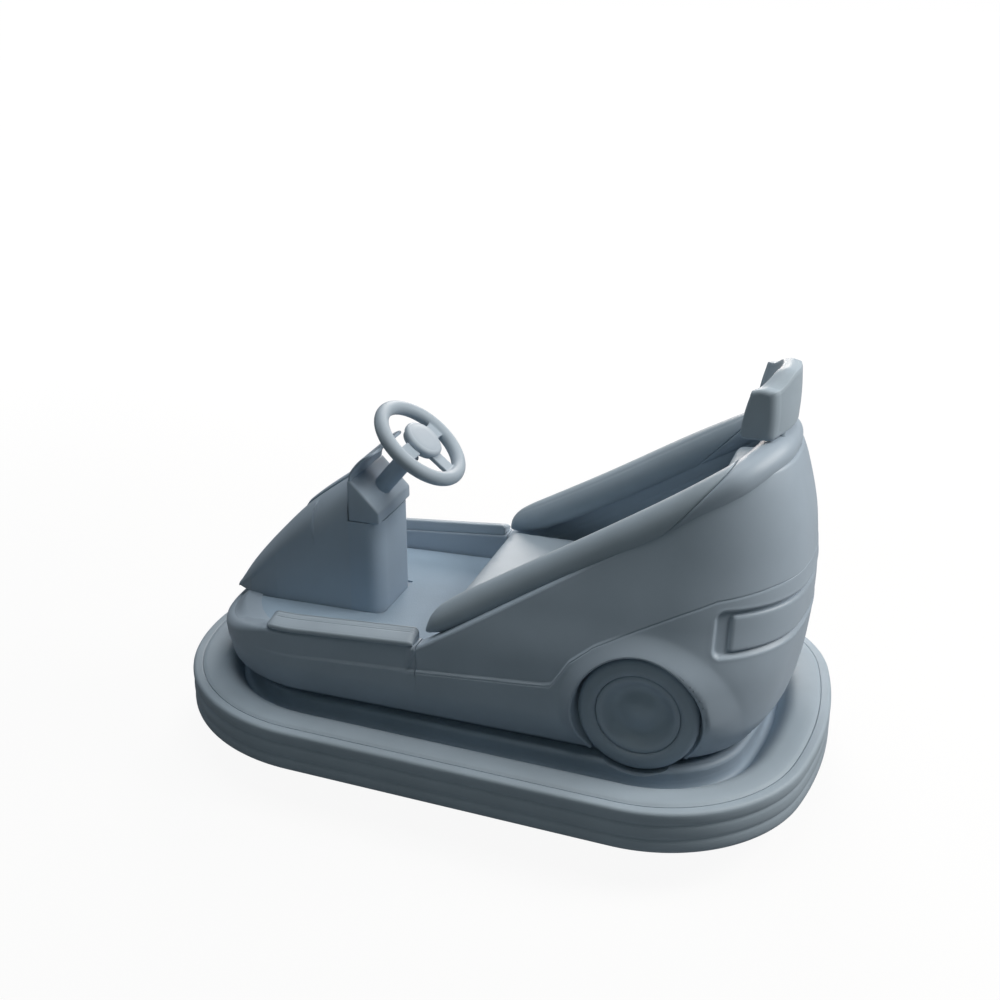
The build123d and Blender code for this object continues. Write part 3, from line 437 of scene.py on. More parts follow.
FINISHES = {
    # slot: tint, roughness, and what differs from the plain satin
    "bumper_rubber": ((160, 174, 186), 0.56, dict(grain=700, grain_depth=0.10, mottle=0.04)),
    "steel": ((150, 164, 176), 0.46, dict(grain=500, grain_depth=0.05, mottle=0.06)),
    "plinth": ((150, 166, 182), 0.50, {}),
    "mat": ((150, 170, 188), 0.72, dict(grain=260, grain_depth=0.5, weave=210, mottle=0.05)),
    "body": ((160, 174, 188), 0.44, dict(grain=1100, grain_depth=0.04, mottle=0.03)),
    "lamp": ((160, 174, 188), 0.40, dict(grain=1200, grain_depth=0.03, mottle=0.03)),
    "trim": ((158, 173, 188), 0.44, dict(grain=1000, grain_depth=0.05, mottle=0.03)),
    "console": ((154, 170, 186), 0.50, dict(grain=600, grain_depth=0.12, weave=420, mottle=0.03)),
    "step": ((164, 177, 189), 0.42, dict(grain=800, grain_depth=0.08, mottle=0.04)),
    "padding": ((160, 174, 186), 0.50, dict(grain=520, grain_depth=0.16, weave=380, mottle=0.04, sheen=0.08)),
    "wheel_rim": ((162, 175, 187), 0.52, dict(grain=620, grain_depth=0.14, weave=520, mottle=0.03)),
    "hub": ((166, 178, 190), 0.46, dict(grain=900, grain_depth=0.06, mottle=0.03)),
    "motor": ((120, 134, 148), 0.44, dict(grain=420, grain_depth=0.12, mottle=0.06)),
    "tyre": ((96, 108, 120), 0.72, dict(grain=360, grain_depth=0.3, mottle=0.08)),
    "tyre_cover": ((152, 167, 181), 0.54, dict(grain=520, grain_depth=0.14, mottle=0.04)),
    "cap": ((156, 171, 185), 0.42, dict(grain=1000, grain_depth=0.04, mottle=0.03)),
    "battery": ((92, 104, 118), 0.55, dict(grain=420, grain_depth=0.2, mottle=0.05)),
}
M = {name: satin(name, tint(*colour), rough, **more) for name, (colour, rough, more) in FINISHES.items()}
slots = {s["node"]: s["material_slot"] for s in frame["record"]["subparts"]}
for node_name, node_obj in frame["nodes"].items():
    for material_slot in node_obj.material_slots:
        material_slot.material = M[slots[node_name]]


# ---------------------------------------------------------------- camera
CAMERA_AT = (-1.093, 3.269, 2.127)
yaw, pitch = math.radians(18.67), math.radians(22.30)
right = Vector((-math.cos(yaw), -math.sin(yaw), 0))
ahead = Vector((math.sin(yaw) * math.cos(pitch), -math.cos(yaw) * math.cos(pitch), -math.sin(pitch)))
up = right.cross(ahead)
cam = put("camera", bpy.data.cameras.new("camera"))
cam.matrix_world = Matrix([*zip(right, up, -ahead, CAMERA_AT), (0, 0, 0, 1)])
cam.data.lens, cam.data.sensor_width, cam.data.sensor_fit = 50.0, 36.0, "HORIZONTAL"
cam.data.clip_end = 60
scene.camera = cam
scene.view_settings.view_transform = "Standard"

# ---------------------------------------------------------------- bumper
bumper_ring = Ring([(NOSE, TAIL, HALF, *BUMPER)], [0], 300, -300, ends=(90, 110), pitch=12)


def band(name, section, slot, **kw):
    """A closed section of (inset, z) carried round the bumper's outline."""
    section = np.asarray(section, float)
    p = bumper_ring.at(np.arange(bumper_ring.count)[:, None], np.zeros(len(section)), section[:, 0])
    p[..., 2] = section[:, 1]
    return sheet(name, both(p), slot, close_u=True, close_v=True, **kw)


RIB_MID, RIB_PITCH, RIB_CROWN = 162, 20, 0.6
GROOVE_DEPTH, GROOVE_WIDTH = 2.6, 5.5


def rib(z):
    """The outer face's inset: shallow grooves between three soft ribs."""
    grooves = sum(bell((z - c) / GROOVE_WIDTH) for c in (RIB_MID - RIB_PITCH, RIB_MID + RIB_PITCH))
    return GROOVE_DEPTH * grooves + RIB_CROWN * (1 - np.cos((z - RIB_MID) / RIB_PITCH * math.pi))


casing = arc(22, 120, 22, 270, 180, 10)[:-1]
casing += [(rib(z), z) for z in np.linspace(122, 205, 44)]
casing += arc(11, 207, 10.5, 176, 92, 9) + [(16, 217.6), (23, 217.6)]
casing += arc(24.5, 213.5, 4, 80, 0, 5) + [(28, 206), (28, 150), (28, 98.2), (25, 98)]
band("bumper_casing_skin", casing, "bumper_rubber", replaces=["bumper_casing"], angle=50)

TUBE_OUT, TUBE_IN, TUBE_FOOT, TUBE_TOP = 29.0, 140.0, 112, 223.2
EDGE_DROP, SLOPE_DROP = 3.2, 46.0


def tube_point(a):
    """The tube's top from its outer edge, a = 0, over the crown and down to its inner edge, a = 1."""
    groove = EDGE_DROP * bell(a / 0.05)
    rise = EDGE_DROP * max(0.0, (0.30 - a) / 0.30) ** 2
    fall = SLOPE_DROP * max(0.0, (a - 0.46) / 0.54) ** 2.3
    return TUBE_OUT + (TUBE_IN - TUBE_OUT) * a, TUBE_TOP - fall - rise - groove


tube = [(28.6, TUBE_FOOT), (28.6, 205)] + [tube_point(a) for a in np.linspace(0, 1, 40)]
tube += [(TUBE_IN, 160), (TUBE_IN, TUBE_FOOT)]
band("bumper_tube_skin", tube, "bumper_rubber", replaces=["bumper_tube"], angle=50)
SEAL = ((140.2, 150), (140.2, 177.5), (142, 176.4), (145, 176), (149, 176.4), (153, 178), (156, 181.5),
        (158.4, 187), (159.7, 194), (160.2, 204), (160.2, 150))
band("channel_seal", SEAL, "plinth", angle=60)

# ---------------------------------------------------------------- body skin
NOSE_COLS, TAIL_COLS = 54, 74
shell_z = np.linspace(BODY_Z - 4, BODY_Z + 764, 193)
shell = Ring(body_rows(shell_z), shell_z, 600, -660, ends=(NOSE_COLS, TAIL_COLS), pitch=7.5,
             dense=[(100, 138, 1.8), (-320, -240, 4.0), (-664, -632, 2.6)])
col = np.arange(shell.count)


def edge_height(points):
    """Height of a side-view line at each column, found step by step because the skin leans."""
    z = np.full(shell.count, 420.0)
    for _ in range(12):
        z = 0.4 * z + 0.6 * line(points, shell.at(col, z)[:, 0])
    return z


PANEL_DEPTH, PANEL_EDGE, PANEL_LINE, CREASE_DEPTH, FENDER_OUT = 7.5, 6.0, 1.6, 6.0, 23.0
CREASE = ((100, 381), (250, 371), (340, 366), (430, 359), (600, 350))
# (angle round the dummy wheel, width of the bulge); 0 is to the rear, 90 up, 180 forward
FENDER_WIDTH = ((-20, 90), (10, 80), (60, 58), (100, 48), (180, 40), (230, 30))


def relief(x, z):
    """How far the skin stands out of the plain body form at a side-view point."""
    # side panel, set back behind a soft ledge with a fine groove along it
    d = away(PANEL, x, z)
    out = -PANEL_DEPTH * soft((x + 430) / 130) * soft(-(d + 1.0) / PANEL_EDGE)
    out = out - PANEL_LINE * bell(d / 1.7) * soft((820 + x) / 60)
    # the ledge's line running on towards the nose
    fade = soft((640 - x) / 420) * soft((x - 112) / 24)
    out = out - CREASE_DEPTH * fade * soft((z - line(CREASE, x)) / 10.0)
    # fender bulge round the dummy wheel
    r = np.hypot(x - ARCH_X, z - ARCH_Z)
    phi = np.degrees(np.arctan2(z - ARCH_Z, -(x - ARCH_X)))
    phi = np.where(phi < -90, phi + 360, phi)
    gain = soft((phi + 22) / 26) * soft((238 - phi) / 60)
    t = np.clip((r - ARCH_R) / line(FENDER_WIDTH, phi), 0, 1)
    return out + FENDER_OUT * gain * (1 - t) ** 1.35 * (1 - 0.25 * bell(t / 0.08))


RECESS = ((-662, 558), (-662, 626), (-1000, 626), (-1000, 558))
RECESS_R, RECESS_DEPTH, RECESS_EDGE = 22.0, 11.0, 9.0


def lamp_relief(x, z):
    """The recess that the lamp band lies in, with a fine raised edge."""
    d = away(RECESS, x, z, RECESS_R)
    return -RECESS_DEPTH * soft(-d / RECESS_EDGE) + 0.9 * bell((d - 2.5) / 2.5)


FOOT_R, INNER_R, BODY_ROWS = 9, 8, 104
# (x, radius) of the belt's outer edge
BELT_LIP = ((-420, 1.2), (-320, 3.5), (100, 3.5), (106, 9), (560, 12), (700, 24))
cols = col[:, None]
belt = edge_height(BELT)
belt_z = belt[:, None]
lip = line(BELT_LIP, shell.at(col, belt)[:, 0])[:, None]
rows = [(BODY_Z + 0.5, 30.0), (BODY_Z, 14.0)]
rows += [(BODY_Z + rise, inset) for rise, inset in fillet(FOOT_R, np.linspace(0.1, 1.4, 4))]
outer_rows = len(rows) + BODY_ROWS
t = 1 - (1 - np.linspace(0, 1, BODY_ROWS)) ** 1.15
z = BODY_Z + FOOT_R + (belt_z - lip - BODY_Z - FOOT_R) * t
x = shell.at(cols, z)[..., 0]
grow = relief(x, z) + lamp_relief(x, z)
rows.append((z, -grow))
last = grow[:, -1:]
rows += [(belt_z - lip * (1 - math.sin(a)), lip * (1 - math.cos(a)) - last * math.cos(a))
         for a in turn(14, 90, 6)]
rows += [(belt_z, lip + (WALL - INNER_R - lip) * k) for k in np.linspace(0.25, 1, 4)]
rows += [(belt_z - drop, WALL - back) for drop, back in fillet(INNER_R, turn(20, 90, 4))]
rows += [(belt_z - INNER_R - (belt_z - INNER_R - BODY_Z) * k, WALL) for k in np.linspace(0.3, 1, 3)]
lower = shell.wrap(cols, rows)
in_arch = np.hypot(lower[..., 0] - ARCH_X, lower[..., 2] - ARCH_Z) < ARCH_R + 3.0
keep = ~(in_arch & (np.arange(lower.shape[1]) < outer_rows))
sheet("lower_body_skin", both(lower), "body", close_u=True, close_v=True,
      keep=np.concatenate([keep, keep[-2:0:-1]]), replaces=["lower_body"], angle=60)

# deck that runs from the nose's edge to the floor mat, as far back as the edge stays low
DECK_Z, DECK_END_Z = 373.0, 396.0
nose_n = int(np.argmax(belt > DECK_END_Z))
edge_z = np.minimum(belt_z[:nose_n], DECK_Z - 2)
rows = [(edge_z - 8, 26), (edge_z - 0.2, 24)]
rows += [(edge_z + 0.2 + (DECK_Z - 0.2 - edge_z) * soft(0.12 + 0.88 * k), 25 + 34 * k)
         for k in np.linspace(0.04, 1, 12)]
rows += [(DECK_Z, 80), (DECK_Z - 0.5, 100)]
deck = shell.wrap(cols[:nose_n], rows)
sheet("nose_deck", np.concatenate([deck[:0:-1] * MIRROR, deck]), "body", capped=True, angle=50)


# ---------------------------------------------------------------- wheel arches
def skin_y(x, z):
    """The skin's side distance at a side-view point on the flank."""
    i = np.interp(-x, -shell.xs, np.arange(len(shell.xs))) + NOSE_COLS
    i0 = np.floor(i).astype(int)
    f = i - i0
    p = shell.at(i0, z)[..., 1] * (1 - f) + shell.at(np.minimum(i0 + 1, shell.count - 1), z)[..., 1] * f
    return p + relief(x, z)


ARCH_LIP = (
    # distance outside the arch's radius, and from the skin; None is the dummy wheel's plane
    (10, 0.0), (7, 0.3), (4.5, 0.4), (2.6, -0.4), (1.0, -2.4), (0.2, -5.0), (0, -8.0), (0, None), (-30, None),
)
phis = turn(-45, 225, 150)
for side, tag in SIDES:
    grid = []
    for off_r, off_y in ARCH_LIP:
        r, skin_r = ARCH_R + off_r, ARCH_R + max(off_r, 4)
        x, z = ARCH_X + r * np.cos(phis), ARCH_Z + r * np.sin(phis)
        if off_y is None:
            y = np.full_like(x, DUMMY_Y - 0.3)
        else:
            skin_z = np.maximum(ARCH_Z + skin_r * np.sin(phis), BODY_Z + 1)
            y = skin_y(ARCH_X + skin_r * np.cos(phis), skin_z) + off_y
        grid.append(np.stack([x, side * y, z], -1))
    sheet("arch_lip_" + tag, grid, "body")

# ---------------------------------------------------------------- upper shell
RIM_R, PAD_DEPTH = 10, 74
SHELL_FRONT = 104.5  # just behind the step in the belt
first = int(np.argmin(np.abs(shell.at(col, belt)[:, 0] - SHELL_FRONT)))
low, high = belt[first:, None].copy(), edge_height(RIM)[first:, None]
low[0] = low[1]
cols = col[first:, None]
rim_lip = np.minimum(RIM_R, (high - low) * 0.4)
z = low + (high - rim_lip - low) * np.linspace(0, 1, 88) ** 1.1
grow = relief(shell.at(cols, z)[..., 0], z) - 0.6
last = grow[:, -1:]
rows = [(low - 6, WALL - 14), (low - 6, 16.0), (low - 2, 8 - grow[:, :1]), (z, -grow)]
rows += [(high - rim_lip * (1 - math.sin(a)), rim_lip * (1 - math.cos(a)) - last) for a in turn(14, 90, 6)]
rows += [(high, WALL * 0.5), (high, WALL - RIM_R)]
rows += [(high - drop, WALL - back) for drop, back in fillet(RIM_R, turn(20, 90, 5))]
for k in np.linspace(0.02, 1, 46):
    z = high - RIM_R - (high - RIM_R - low) * k
    rows.append((z, WALL - 1.8 * bell((high - z - PAD_DEPTH) / 4.0)))
sheet("rear_shell_skin", round_tail(shell.wrap(cols, rows)), "body", capped=True,
      replaces=["rear_shell"], angle=60)

# ---------------------------------------------------------------- lamp band
LAMP_R, LAMP_BACK = 9.0, 13.0
FRONT_Z, FRONT_LONG, FRONT_DRAW = 584.0, 12.0, 9.5  # its front edge's height, length and rounding
lamp_z = np.linspace(540, 628, 23)
lamp_ring = Ring(body_rows(lamp_z), lamp_z, -300, -760, ends=(4, 60), pitch=4.0, dense=[(-700, -660, 1.5)])
first = 4 + int(np.argmin(np.abs(lamp_ring.xs - LAMP_X)))
cols = np.arange(first, lamp_ring.count)[:, None]
front = quarter((LAMP_X - lamp_ring.at(cols, FRONT_Z)[..., 0]) / FRONT_LONG)
corner = fillet(LAMP_R, turn(0, 90, 8))
section = [(LAMP_LOW + rise, inset) for rise, inset in corner]
section += [(z, 0.0) for z in np.linspace(LAMP_LOW + LAMP_R, LAMP_HIGH - LAMP_R, 14)[1:-1]]
section += [(LAMP_HIGH - rise, inset) for rise, inset in corner[::-1]]
mid = (LAMP_LOW + LAMP_HIGH) / 2
rows = [(LAMP_LOW + 0.5, LAMP_BACK)]
rows += [(mid + (z - mid) * (0.93 + 0.07 * front), 1.5 + inset + (1 - front) * FRONT_DRAW)
         for z, inset in section]
rows.append((LAMP_HIGH - 0.5, LAMP_BACK))
sheet("lamp_band_lens", round_tail(lamp_ring.wrap(cols, rows)), "lamp", capped=True,
      replaces=["rear_lamp_band"], angle=60)

# ---------------------------------------------------------------- roll on the rim
STATIONS = (
    # share of the rim's length, side inset, rise, half width, half height
    (-0.05, 206, 18, 14, 15), (0.0, 218, 28, 33, 31), (0.11, 238, 24, 43, 43), (0.365, 260, 17, 43, 45),
    (0.69, 272, 15, 43, 45), (0.87, 295, 15, 42, 44), (0.98, 327, 16, 42, 42),
)
TAIL_STATIONS = (
    # x, y, z, half width, half height
    (-694, 150, 953, 44, 42), (-718, 75, 965, 45, 42), (-725, 0, 969, 45, 42),
)
(rim_rear, rim_top), (rim_front, rim_low) = RIM[2:4]
spine = [(rim_front + s * (rim_rear - rim_front), HALF - i, rim_low + s * (rim_top - rim_low) + rise, w, h)
         for s, i, rise, w, h in STATIONS]
spine = np.array([*spine, *TAIL_STATIONS], float)
length = lengths(spine[:, :3])
SEAM_LOW, SEAM_HIGH = (-473.0, 776.0), (-648.0, 982.0)


def roll_at(s):
    """Centres, sizes and frames along the roll."""
    c = np.stack([pchip(length, spine[:, k], s) for k in range(3)], -1)
    w, h = pchip(length, spine[:, 3], s), pchip(length, spine[:, 4], s)
    before, after = ([pchip(length, spine[:, k], s + e) for k in range(3)] for e in (-3.0, 3.0))
    way = np.stack(after, -1) - np.stack(before, -1)
    way /= np.linalg.norm(way, axis=-1, keepdims=True)
    flat = np.stack([way[..., 1], -way[..., 0], 0 * way[..., 0]], -1)
    flat /= np.linalg.norm(flat, axis=-1, keepdims=True)
    return c, w, h, flat, np.cross(way, flat)


def roll_points(s, v, shrink=0.0):
    """Points at angles v round the roll, drawn in by shrink."""
    c, w, h, flat, tall = roll_at(s)
    return (c + (w - shrink)[..., None] * np.cos(v)[..., None] * flat
            + (h - shrink)[..., None] * np.sin(v)[..., None] * tall)


def seam_side(p):
    """Positive behind the diagonal seam."""
    ex, ez = SEAM_HIGH[0] - SEAM_LOW[0], SEAM_HIGH[1] - SEAM_LOW[1]
    return ((p[..., 2] - SEAM_LOW[1]) * ex - (p[..., 0] - SEAM_LOW[0]) * ez) / math.hypot(ex, ez)


def seam_length(v):
    """How far along the roll the seam lies at each angle round it."""
    lo, hi = np.full(v.shape, length[3]), np.full(v.shape, length[8])
    for _ in range(40):
        m = (lo + hi) / 2
        behind = seam_side(roll_points(m, v)) > 0
        hi, lo = np.where(behind, m, hi), np.where(behind, lo, m)
    return (lo + hi) / 2


ROLL_START, SEAM_GAP, STITCH = 6.0, 1.2, 46
ROLL_LONG, NOSE_LONG, TAIL_LONG = 700, 60.0, 9.0  # the roll's rough length, and its rounded ends
v = np.linspace(0, FULL_TURN, 73)[:-1]
cut = seam_length(v)
stitch_groove = 1.3 * bell((v - v[STITCH]) / 0.05)
for side, tag in SIDES:
    rows = []
    for k in np.linspace(0, 1, 130):
        s = ROLL_START + (cut - SEAM_GAP - ROLL_START) * k
        nose_round = quarter((k * ROLL_LONG + 1.5) / NOSE_LONG)
        tail_round = quarter(((1 - k) * ROLL_LONG + 2.0) / TAIL_LONG)
        c = roll_at(s)[0]
        share = nose_round * (0.86 + 0.14 * tail_round)
        rows.append(c + (roll_points(s, v, 0.8 + stitch_groove) - c) * share)
    grid = np.array(rows) * np.array([1, side, 1])
    pad = sheet("bolster_pad_" + tag, grid, "padding", capped=True, replaces=["bolster_" + tag])
half = []
for k in np.linspace(0, 1, 60):
    s = cut + SEAM_GAP + (length[-1] - cut - SEAM_GAP) * k
    half.append(roll_points(s, v, 0.4 + 3.0 * math.exp(-k * 60)))
half = np.array(half)
half[-1, :, 1] = 0
sheet("rear_shoulder", round_tail(half), "body", capped=True, replaces=["rear_shell"])

# ---------------------------------------------------------------- sill strips
SILL_GROOVES, SILL_GROOVE_DEPTH = (0.62, 0.72), 1.5
for side, tag in SIDES:
    rows = []
    for x in np.linspace(SILL_FRONT - 4, SILL_REAR + 8, 90):
        z = float(line(BELT, x))
        y = float(skin_y(x, z)) - float(relief(x, z))
        e = quarter((SILL_FRONT - x + 1) / 26.0) * (0.45 + 0.55 * quarter((x - SILL_REAR - 7) / 16.0))
        section = arc(y - 9, z + 7, 8.5, -80, 60, 10)
        for k in np.linspace(0, 1, 22):
            grooves = sum(SILL_GROOVE_DEPTH * bell((k - g) / 0.03) for g in SILL_GROOVES)
            section.append((y - 5 - 48 * k, z + 14.4 + 16.0 * k**0.8 - grooves))
        section += arc(y - 52, z + 26, 5, 80, 180, 6) + [(y - 57, z + 0.4), (y - 20, z + 0.3)]
        cy, cz = y - 28, z + 2
        rows.append([(x, side * (cy + (py - cy) * (0.72 + 0.28 * e)), cz + (pz - cz) * e)
                     for py, pz in section])
    sheet("sill_tread_" + tag, rows, "step", capped=True, replaces=["sill_step_" + tag], angle=55)

# ---------------------------------------------------------------- hood
HOOD = ((411, 758), (573, 634), (627, 580), (731, 462), (786, 384))
HOOD_CREASE = ((521, 605), (566, 568), (625, 520), (685, 465), (729, 421), (786, 372))
HOOD_HALF = ((640, 112), (731, 98), (786, 66))
HOOD_REAR, HOOD_TIP = HOOD[0][0], HOOD[-1][0]
RIDGE_HALF, RIDGE_DROP = 40, 1.2


def ridge(x):
    return pchip([p[0] for p in HOOD], [p[1] for p in HOOD], x)


rows = []
for x in np.linspace(HOOD_REAR, HOOD_TIP, 110):
    top, half = float(ridge(x)), float(line(HOOD_HALF, x))
    crease = line(HOOD_CREASE, x) if x > 521 else top - 105 + (521 - x) * 0.05
    crease = max(crease, FLOOR_Z + 3)
    half_row = [(RIDGE_HALF * k, top - RIDGE_DROP * k**3) for k in np.linspace(0, 1, 10)]
    for a in np.linspace(0, math.pi / 2, 26)[1:]:
        half_row.append((RIDGE_HALF + (half - RIDGE_HALF) * math.sin(a * 0.985),
                         crease + (top - RIDGE_DROP - crease) * max(0.0, math.cos(a)) ** 0.9))
    for k in np.linspace(0, 1, 14)[1:]:
        half_row.append((half - 2.0 * min(1, k * 8), crease + (FLOOR_Z + 0.5 - crease) * k))
    rows.append([(x, -y, z) for y, z in half_row[::-1]] + [(x, y, z) for y, z in half_row[1:]])
tip_z = FLOOR_Z - 6
tip = [[(HOOD_TIP + fwd, y * thin, tip_z + (z - tip_z) * flat) for _, y, z in rows[-1]]
       for fwd, thin, flat in ((3, 0.97, 0.86), (5.5, 0.93, 0.6), (7, 0.88, 0.3), (7.5, 0.85, 0.0))]
sheet("hood_skin", rows + tip, "body", replaces=["hood"], angle=50)
STRIP = ((-26, -2), (-26, 5), (-24.5, 7), (-22, 8), (0, 8.4), (22, 8), (24.5, 7), (26, 5), (26, -2))
rows = []
for x in np.linspace(408, 574, 30):
    z = float(ridge(x)) if x > HOOD_REAR else 760
    e = min(1.0, (576 - x) / 10)
    rows.append([(x, y, z + h * e) for y, h in STRIP])
sheet("hood_band", rows, "trim", capped=True, replaces=["hood_strip"], angle=40)


# ---------------------------------------------------------------- dash
def prism(name, side_line, half, slot, bevel, **kw):
    """A side-view polygon extruded to both sides, with rounded edges."""
    n = len(side_line)
    co = [(x, -half, z) for x, z in side_line] + [(x, half, z) for x, z in side_line]
    faces = [tuple(range(n)), tuple(range(2 * n - 1, n - 1, -1))]
    faces += [(i, (i + 1) % n, n + (i + 1) % n, n + i) for i in range(n)]
    obj = build(name, co, faces, slot, **kw)
    mod = obj.modifiers.new("bevel", "BEVEL")
    mod.width, mod.segments, mod.limit_method, mod.angle_limit = bevel * MM, 4, "ANGLE", math.radians(28)
    bake(obj)
    shade_smooth(obj, 35)
    return obj


DASH = ((318.5, 640.5), (410.5, 640.5), (410.5, 757.8), (399, 757.8), (318.5, 674.5))
prism("dash_block", DASH, 111.5, "trim", 7, replaces=["dash_panel"])
COWL = np.array([(-3, 0), (-6, 16), (-19, 38), (-48, 68), (-78, 86)], float)
COWL_X, COWL_Z, COWL_THICK, COWL_HALF, COWL_R, COWL_EDGE, COWL_ROWS = 410.7, 758.3, 8, 110, 30, 3, 30
along = lengths(COWL)
at = np.linspace(0, 1, COWL_ROWS) * along[-1]
cowl_x, cowl_z = pchip(along, COWL[:, 0], at) + COWL_X, pchip(along, COWL[:, 1], at) + COWL_Z
rows = []
for i, s in enumerate(at):
    a, b = max(i - 1, 0), min(i + 1, COWL_ROWS - 1)
    tx, tz = cowl_x[b] - cowl_x[a], cowl_z[b] - cowl_z[a]
    size = math.hypot(tx, tz)
    nx, nz = tz / size, -tx / size
    past = max(0, s - (along[-1] - COWL_R))
    w = COWL_HALF - (COWL_R - math.sqrt(max(0, COWL_R**2 - past**2)))
    ys = np.linspace(-w, w, 40)
    face = [(y, 1.6 * (max(0.0, abs(y) - w + COWL_EDGE) / COWL_EDGE) ** 2) for y in ys]
    face += [(y, COWL_THICK - d) for y, d in face[::-1]]
    rows.append([(cowl_x[i] - nx * d, y, cowl_z[i] - nz * d) for y, d in face])
sheet("cowl_sheet", rows, "trim", capped=True, replaces=["dash_cowl"], angle=50)

# ---------------------------------------------------------------- steering wheel
tilt = math.radians(39.7)
WHEEL_X, WHEEL_Z = 0.238, 0.849
wheel_frame = Matrix((
    (math.cos(tilt), 0, -math.sin(tilt), WHEEL_X), (0, 1, 0, 0), (math.sin(tilt), 0, math.cos(tilt), WHEEL_Z),
    (0, 0, 0, 1)))


def merged(name, pieces, voxel, slot, rounds, **kw):
    """Several closed forms joined into one smooth skin."""
    bm = bmesh.new()
    for co, faces in pieces:
        vs = [bm.verts.new(c) for c in co]
        for f in faces:
            bm.faces.new([vs[i] for i in f])
    bmesh.ops.recalc_face_normals(bm, faces=bm.faces)
    obj = from_bmesh(name, bm)
    remesh(obj, voxel, rounds)
    return dress(obj, slot, **kw)


def torus(big, small, n=96, m=24):
    co = []
    for i in range(n):
        a = FULL_TURN * i / n
        for j in range(m):
            b = FULL_TURN * j / m
            r = big + small * math.cos(b)
            co.append(Vector((r * math.cos(a), r * math.sin(a), small * math.sin(b))))
    return co, quads(n, m, True, True)


def slab_piece(x0, x1, y0, y1, z0, z1):
    co = [Vector((x, y, z)) for x in (x0, x1) for y in (y0, y1) for z in (z0, z1)]
    return co, [(0, 1, 3, 2), (4, 6, 7, 5), (0, 4, 5, 1), (2, 3, 7, 6), (0, 2, 6, 4), (1, 5, 7, 3)]


GRIP_R, GRIP_THICK, SPOKE = 0.127, 0.0198, (0.040, 0.122, -0.023, 0.023, -0.0062, 0.0062)
pieces = [torus(GRIP_R, GRIP_THICK)]
for angle in (90, 180, 270):
    co, faces = slab_piece(*SPOKE)
    pieces.append(([Matrix.Rotation(math.radians(angle), 4, "Z") @ c for c in co], faces))
pieces = [([wheel_frame @ c for c in co], faces) for co, faces in pieces]
merged("wheel_grip", pieces, 0.0022, "wheel_rim", 5, body="steering", replaces=["steering_wheel"])

HUB = ((0, -10), (46, -10), (52, -6), (52, 6.4), (54, 6.6), (57.4, 7.2), (58, 9), (58, 15.5), (56.5, 19.0),
       (52.5, 22.2), (48, 23.2), (46.8, 22.9), (45.6, 23.3), (30, 23.9), (0, 24))
obj = lathe("wheel_hub_cap", HUB, (0, 0, 0), "hub", axis="z", body="steering",
            replaces=["steering_hub"], angle=50)
obj.data.transform(wheel_frame)

# ---------------------------------------------------------------- dummy wheels
TYRE_R, TYRE_DEEP, BORE = 16, 22, CAP_R + 0.4
tyre = [(BORE, 0), (DUMMY_R, 0), (DUMMY_R, TYRE_DEEP)]
tyre += [(DUMMY_R - TYRE_R + TYRE_R * math.cos(a), TYRE_DEEP + 14.5 * math.sin(a))
         for a in np.linspace(0.1, 1.5, 10)]
tyre += [(126, 37.6), (118, 37.2), (111, 35.0), (107.6, 31.5), (BORE, 27), (BORE, 0)]
cap = [(0, 0), (CAP_R, 0), (CAP_R, 26)]
cap += [(CAP_R - 4 + 4 * math.cos(a), 26 + 4 * math.sin(a)) for a in np.linspace(0.2, 1.57, 6)]
cap += [(97, 30.2), (93, 29.4), (88, 26.2), (82, 20.4), (76, 14.0), (70, 9.0), (64, 6.0), (58, 5.0),
        (50, 6.2), (42, 9.2), (32, 13.6), (20, 17.6), (10, 19.4), (0, 20.0)]
for side, tag in SIDES:
    for name, profile, slot, node in (("flank_tyre_", tyre, "tyre_cover", "dummy_tyre_"),
                                      ("flank_cap_", cap, "cap", "dummy_cap_")):
        flank = [(r, side * (DUMMY_Y + o)) for r, o in profile]
        lathe(name + tag, flank, (ARCH_X, 0, ARCH_Z), slot, replaces=[node + tag], angle=50)

# ---------------------------------------------------------------- padded pieces
PAD_VOXEL = 0.006
PRESSURE, PUFF_FRAMES, PUFF_LIMIT = 4.0, 20, 0.006


def puff(obj):
    """Swells a closed mesh by cloth pressure, limits the movement and applies it."""
    rest = np.zeros(len(obj.data.vertices) * 3)
    obj.data.vertices.foreach_get("co", rest)
    settings = obj.modifiers.new("cloth", "CLOTH").settings
    settings.use_pressure, settings.uniform_pressure_force = True, PRESSURE
    settings.effector_weights.gravity = 0.0
    settings.quality = 5
    for f in range(1, PUFF_FRAMES + 1):
        scene.frame_set(f)
    dg = bpy.context.evaluated_depsgraph_get()
    moved = np.zeros_like(rest)
    obj.evaluated_get(dg).data.vertices.foreach_get("co", moved)
    obj.modifiers.clear()
    scene.frame_set(1)
    step = (moved - rest).reshape(-1, 3)
    size = np.linalg.norm(step, axis=1, keepdims=True)
    step *= np.minimum(1.0, PUFF_LIMIT / np.maximum(size, 1e-9))
    obj.data.vertices.foreach_set("co", (rest.reshape(-1, 3) + step).reshape(-1))
    obj.data.update()
    even(obj, 4)
    bake(obj)


lo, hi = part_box("seat_cushion")
size = hi - lo - Vector((0.012, 0.012, 0.008))
bm = bmesh.new()
bmesh.ops.create_cube(bm, size=1)
for vert in bm.verts:
    vert.co = vert.co * size
bmesh.ops.bevel(bm, geom=bm.edges[:], offset=0.018, segments=4, profile=0.6, affect="EDGES")
long_edges = [e for e in bm.edges if e.calc_length() > 0.03]
bmesh.ops.subdivide_edges(bm, edges=long_edges, cuts=6, use_grid_fill=True)
pad = from_bmesh("seat_pad", bm)
remesh(pad, PAD_VOXEL)
puff(pad)
pad.data.transform(Matrix.Translation((lo + hi) / 2))
dress(pad, "padding", replaces=["seat_cushion"])

